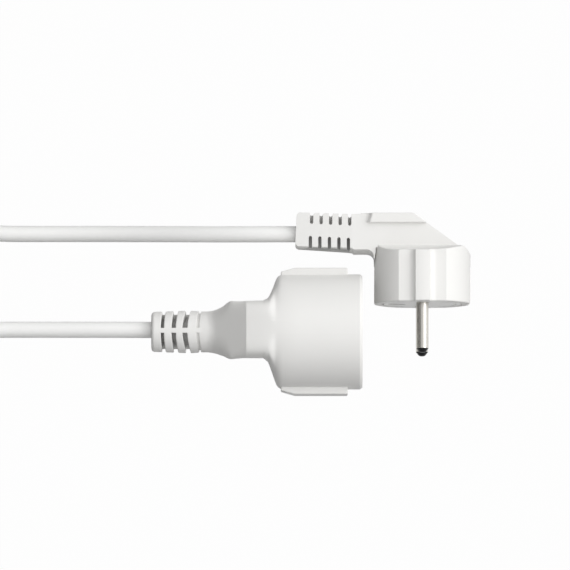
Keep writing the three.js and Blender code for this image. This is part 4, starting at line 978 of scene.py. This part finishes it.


# strain relief slots of the handle: rows of rounded cutters made by a node tree, with painted shade inside them
handleSlot = {
    "count": 5, "pitch": 3.74, "firstX": -43.86, "width": 1.3, "round": 0.637, "web": 2.38, "upperShift": 0.35,
    "lowerShift": -0.15, "upperFloor": 1.0, "lowerFloor": 3.75, "line": (29.22, 28.02), "lowerReach": 7.1,
    "upperPast": 2.0, "notch": 0.1, "notchPast": 0.6, "ease": 1.15, "upperShade": 0.14, "lowerShade": 0.5,
    "shadeTop": 5.5, "spine": 0.9}


# one mesh from several that don't touch
def gathered(name, pieces):
    work = bmesh.new()
    for piece in pieces:
        work.from_mesh(piece.data)
        bpy.data.objects.remove(piece)
    mesh = bpy.data.meshes.new(name)
    work.to_mesh(mesh)
    work.free()
    return placed(name, mesh)


# a row of slot cutters: a rounded outline, drawn out along Z and set along a line
def slotTree():
    tree = Tree("slotRow", {
        "Count": 5, "First": (0.0, 0.0, 0.0), "Step": (1.0, 0.0, 0.0), "Width": 1.0, "Length": 4.0, "Depth": 4.0,
        "Round": 0.5})
    i = tree.inputs
    outline = tree.node("CurvePrimitiveQuadrilateral", None, {"Width": i["Width"], "Height": i["Length"]})[0]
    soft = tree.node("FilletCurve", {"mode": "POLY"}, {"Curve": outline, "Count": 7, "Radius": i["Round"]})[0]
    face = tree.node("FillCurve", {"mode": "NGONS"}, {"Curve": soft})[0]
    drawn = tree.node("ExtrudeMesh", {"mode": "FACES"}, {
        "Mesh": face, "Offset": (0.0, 0.0, 1.0), "Offset Scale": i["Depth"], "Individual": False})[0]
    flipped = tree.node("FlipFaces", None, {"Mesh": face})[0]
    both = tree.group.nodes.new("GeometryNodeJoinGeometry")
    for half in (drawn, flipped):
        tree.group.links.new(half, both.inputs[0])
    closed = tree.node("MergeByDistance", None, {"Geometry": both.outputs[0], "Distance": 0.001})[0]
    line = tree.node("MeshLine", {"mode": "OFFSET"}, {
        "Count": i["Count"], "Start Location": i["First"], "Offset": i["Step"]})[0]
    tree.close(tree.node("InstanceOnPoints", None, {"Points": line, "Instance": closed})[0])
    return tree


# upper and lower pockets on both faces as one tool, and the notches in the handle's upper edge as another
def handleSlots():
    s, p = handleSlot, plug
    tree = slotTree()
    fall = (s["line"][1] - s["line"][0]) / (p["rootX"] - p["handleEnd"])
    middle = s["line"][0] + fall * (s["firstX"] - p["handleEnd"])

    def row(shift, inner, outer, low, high):
        return tree.grow("slot_row", {
            "Count": s["count"], "First": (s["firstX"] + shift, (inner + outer) / 2, low),
            "Step": (s["pitch"], fall * s["pitch"], 0.0), "Width": s["width"], "Length": abs(outer - inner),
            "Depth": high - low, "Round": s["round"]})

    out, rows = p["half"] + overrun, []
    for shift, floor, inner, outer in (
            (s["upperShift"], s["upperFloor"], middle + s["web"], p["handleTop"] + s["upperPast"]),
            (s["lowerShift"], s["lowerFloor"], middle - s["web"], middle - s["lowerReach"])):
        rows += [row(shift, inner, outer, low, high) for low, high in ((floor, out), (-out, -floor))]
    pockets = tidy(gathered("slot_pockets", rows))
    base = p["back"] - s["notch"]
    notches = tidy(gathered("slot_notches", [row(s["upperShift"], base, p["handleTop"] + s["notchPast"], -out, out)]))
    for point in notches.data.vertices:
        across = (point.co.x - s["firstX"] - s["upperShift"]) / s["pitch"]
        if across > round(across):
            point.co.x += s["ease"] * max(point.co.y - base, 0)
    return pockets, notches


# the hollows inside the plug: the bridge's seat, wire chamber and riser, cable way, earth strips and their bar
plugHollow = {
    "bridgeSeat": 15.6, "seatDepth": 6.3, "chamber": 13.4, "chamberFrom": 6, "chamberTop": 17.5,
    "riser": ((-12, 16.5, -5.2), (3, 30.2, 5.2)), "cableWay": 3.45, "cableEnd": -11,
    "strip": (18.0, 20.2, 14.8, 2.9), "bar": (19.2, 13.9, 15.1, 2.9)}  # inner, outer, top, half; reach, low, high, half


def plugHollowTool():
    h, p = plugHollow, plug
    inner, outer, top, half = h["strip"]
    reach, low, high, barHalf = h["bar"]
    parts = [
        rod("seat", h["bridgeSeat"], -overrun, h["seatDepth"], axis="Y"),
        rod("chamber", h["chamber"], h["chamberFrom"], h["chamberTop"], axis="Y"), block("riser", *h["riser"]),
        rod("cableWay", h["cableWay"], p["handleEnd"] - overrun, h["cableEnd"], (p["cordHeight"], 0)),
        block("bar", (-reach, low, -barHalf), (reach, high, barHalf))]
    for side in (1, -1):
        near, far = sorted((side * inner, side * outer))
        parts.append(block("strip", (near, -overrun, -half), (far, top, half)))
    return united(*parts)


def makePlugBody():
    body = united(plugDrum(), plugSlab(), gripPlate())
    for cutter in handleSlots():
        combine(body, cutter)
    body = evened(tidy(combine(body, plugHollowTool()), crease=27))
    body.name = "plug_moulding"
    s = handleSlot

    # painted shade in the slots: darker towards their floors, more so in the lower row
    def depth(x, y, z):
        inSlot = np.zeros(len(x), bool)
        for i in range(s["count"]):
            for shift in (s["upperShift"], s["lowerShift"]):
                inSlot |= np.abs(x - s["firstX"] - s["pitch"] * i - shift) < s["width"] / 2 + tiny
        inSlot &= np.abs(z) > s["spine"]
        shadeStrength = np.where(y > np.mean(s["line"]), s["upperShade"], s["lowerShade"])
        return inSlot * shadeStrength * np.clip((s["shadeTop"] - np.abs(z)) / (plug["endHalf"] - s["lowerFloor"]), 0, 1)

    finished(pocketed(body, depth), "white_plastic", "plug_body", plug["origin"])


makePlugBody()
print("plug body made")


# pins, each with a seam along it, and their rounded tips; a seam is its angle, width and depth
pins = {
    "radius": 2.4, "spacing": 19, "reach": 19.8, "tip": 1.6, "gap": 0.05, "bore": 1.6, "boreEnd": -6, "edge": 0.12,
    "foot": 6.3, "collar": 3.4, "collarLength": 1.0, "tail": 12.5, "stem": 1.3, "stemLength": 5, "segments": 144,
    "dome": ((0, 0.4), (0.05, 0.75), (0.18, 1.08), (0.42, 1.4), (0.75, 1.68), (1.1, 1.9), (1.36, 2.12),
             (1.52, 2.33), (1.6, 2.4)),
    "seams": ((52, 7.0, 0.12), (-5, 4.0, 0.05), (-31, 5.0, 0.06), (-62, 5.0, 0.06)), "seamSpan": (-19.15, 5.8)}


def makePins():
    p, origin = pins, plug["origin"]
    end, root = -(p["reach"] - p["tip"] - p["gap"]), -(p["reach"] - p["tip"])
    collarEnd, stemEnd = p["foot"] + p["collarLength"], root + p["stemLength"]
    tube = [
        (p["boreEnd"], poleRadius), (p["boreEnd"], p["bore"]), (end, p["bore"]), (end, p["radius"] - p["edge"]),
        (end + p["edge"], p["radius"]), (p["foot"], p["radius"]), (p["foot"], p["collar"]), (collarEnd, p["collar"]),
        (collarEnd, p["radius"]), (p["tail"], p["radius"]), (p["tail"], poleRadius)]
    cap = [(-p["reach"], poleRadius)] + [(-p["reach"] + place, radius) for place, radius in p["dome"]]
    cap += [(root, p["stem"]), (stemEnd, p["stem"]), (stemEnd, poleRadius)]

    def seams(turns, place):
        depth = 0 * turns
        for at, wide, deep in p["seams"]:
            away = np.abs((np.degrees(turns) - at + 180) % 360 - 180)
            depth = depth + deep * np.clip(1 - away / wide, 0, 1)
        return depth * (p["seamSpan"][0] < place < p["seamSpan"][1])

    for name, side in (("live", 1), ("neutral", -1)):
        middle = (side * p["spacing"] / 2, 0)
        pin = turned(name + "_pin_fine", tube, p["segments"], "Y", middle, inset=seams)
        finished(pin, "nickel", name + "_pin", origin)
        tip = turned(name + "_tip_fine", cap, p["segments"], "Y", middle)
        finished(tip, "black_plastic", name + "_pin_tip", origin)


# bridge that holds the pins, and the earth strip and socket on it
bridge = {
    "radius": 15.3, "thickness": 6, "edge": 0.35, "groove": (13.6, 12.7, 0.35, 0.14), "pinWay": 2.7, "socketWay": 3.4,
    "socketPlace": -10, "lead": 0.2, "segments": 160, "edgeSteps": 4}  # groove: outer, inner, depth, slope
earthClip = {
    "reach": 18.6, "foot": 0.6, "bar": 14.5, "thickness": 0.6, "width": 5.2, "bend": 1.4, "round": 0.12, "steps": 8}
earthSocket = {
    "outer": 3.1, "bore": 2.5, "foot": 1.0, "top": 13.9, "roof": 12.7, "lead": 0.3, "footEdge": 0.1, "topEdge": 0.2,
    "segments": 72}


def makeBridge():
    b, back = bridge, bridge["thickness"]
    outer, inner, sink, slope = b["groove"]
    profile = [(back, poleRadius), (back, b["radius"])]
    profile += [(place, b["radius"] - inset) for place, inset in roundEdge(b["edge"], b["edgeSteps"])]
    profile += [(0, outer), (sink, outer - slope), (sink, inner + slope), (0, inner), (0, poleRadius)]
    disc = turned("pin_bridge_fine", profile, b["segments"], "Y")
    half, lead = pins["spacing"] / 2, b["lead"]
    for radius, z, x in ((b["pinWay"], half, 0), (b["pinWay"], -half, 0), (b["socketWay"], 0, b["socketPlace"])):
        way = [(-overrun, radius + lead), (0.0, radius + lead), (lead, radius), (back + overrun, radius)]
        combine(disc, turned("way", way, segments["hole"], "Y", (z, x)))
    finished(evened(tidy(disc)), "white_hard_plastic", "pin_bridge", plug["origin"])


def makeEarthClip():
    c = earthClip
    corners = ((-c["reach"], c["foot"]), (-c["reach"], c["bar"]), (c["reach"], c["bar"]), (c["reach"], c["foot"]))
    clip = bentBand("plug_earth_clip_fine", c, "nickel", [(x, y, 0) for x, y in corners])
    finished(tidy(clip), "nickel", "plug_earth_clip", plug["origin"])


def makeEarthSocket():
    s = earthSocket
    bore, outer, foot, top, low, high = s["bore"], s["outer"], s["foot"], s["top"], s["footEdge"], s["topEdge"]
    profile = [
        (s["roof"], poleRadius), (s["roof"], bore), (foot + s["lead"], bore), (foot, bore + s["lead"]),
        (foot, outer - low), (foot + low, outer), (top - high, outer), (top, outer - high), (top, poleRadius)]
    socket = turned("earth_pin_socket_fine", profile, s["segments"], "Y", (0, bridge["socketPlace"]))
    finished(socket, "nickel", "earth_pin_socket", plug["origin"])


makePins()
print("pins made")
makeBridge()
makeEarthClip()
makeEarthSocket()
print("bridge and earth parts made")


# floor and light: a large soft key from the back right, and dark cards that shade the left and the front
studio = {
    "floorSize": 6.0, "floorColour": 0.12, "floorGlow": 0.985, "skyStrength": 1.04,
    "keyPlace": (1.17, 0.46, 1.0), "keyTarget": (0, 0, 0.02), "keySize": 1.4, "keyStrength": 9.5}
# grey cards beside the set, out of the camera's sight: tint, glow, whether only mirror rays meet them, and corners
cards = {
    "leftCard": (0.3, 0.0, False, ((-0.7, -1.0, 0.0), (-0.7, 2.0, 0.0), (-0.52, 2.0, 0.92), (-0.52, -1.0, 0.92))),
    "frontCard": (0.03, 0.0, False, ((-0.9, -0.5, 0.0), (0.9, -0.5, 0.0), (0.9, -0.5, 0.21), (-0.9, -0.5, 0.21))),
    "gleamCard": (0.0, 0.68, True, ((-0.02, -1.0, 1.2), (-0.02, 1.0, 1.2), (-0.6, 1.0, 0.85), (-0.6, -1.0, 0.85)))}


# 1 for the rays that see a plain white background: the camera's own, mirrored and refracted ones
def backgroundRays(tree):
    paths = addNode(tree, "ShaderNodeLightPath", None, None)
    kinds = ("Is Camera Ray", "Is Glossy Ray", "Is Transmission Ray")
    seen, shine, through = (Wave(tree, paths.outputs[kind]) for kind in kinds)
    return (seen + shine + through).clamped()


def makeFloor():
    half = studio["floorSize"] / 2
    corners = [(-half, -half, 0), (half, -half, 0), (half, half, 0), (-half, half, 0)]
    floor = meshFrom("floor", corners, [(0, 1, 2, 3)])
    made = Finish("floor white")
    shade = made.node("BsdfDiffuse", None, {"Color": (*[studio["floorColour"]] * 3, 1)})
    glow = made.node("Emission", None, {"Color": (1, 1, 1, 1), "Strength": 1.0})
    share = backgroundRays(made.tree) * studio["floorGlow"]
    both = made.node("MixShader", None, {0: share, 1: shade.outputs["BSDF"], 2: glow.outputs["Emission"]})
    floor.data.materials.append(made.ended(both.outputs["Shader"]))


def makeSky():
    sky = bpy.data.worlds.new("studioSky")
    sky.use_nodes = True
    bpy.context.scene.world = sky
    back = next(node for node in sky.node_tree.nodes if node.type == "BACKGROUND")
    back.inputs["Color"].default_value = (1, 1, 1, 1)
    plain = studio["skyStrength"]
    strength = backgroundRays(sky.node_tree) * (1 - plain) + plain
    sky.node_tree.links.new(strength.socket, back.inputs["Strength"])


def makeKey():
    light = bpy.data.lights.new("keyLamp", "AREA")
    light.shape, light.size, light.energy = "DISK", studio["keySize"], studio["keyStrength"]
    aimed(placed("keyLamp", light), studio["keyPlace"], studio["keyTarget"])


def makeCards():
    for name, (tint, glow, onlyMirrored, corners) in cards.items():
        made = Finish(name)
        shade = made.node("BsdfDiffuse", None, {"Color": (tint, tint, tint, 1)})
        shine = made.node("Emission", None, {"Color": (1, 1, 1, 1), "Strength": glow})
        both = made.node("AddShader", None, {0: shade.outputs["BSDF"], 1: shine.outputs["Emission"]})
        card = meshFrom(name, corners, [(0, 1, 2, 3)])
        card.data.materials.append(made.ended(both.outputs["Shader"]))
        card.visible_camera = False
        card.visible_diffuse = card.visible_shadow = not onlyMirrored


makeFloor()
makeCards()
makeSky()
makeKey()
bpy.context.scene.view_settings.view_transform = "Standard"
print("studio ready")
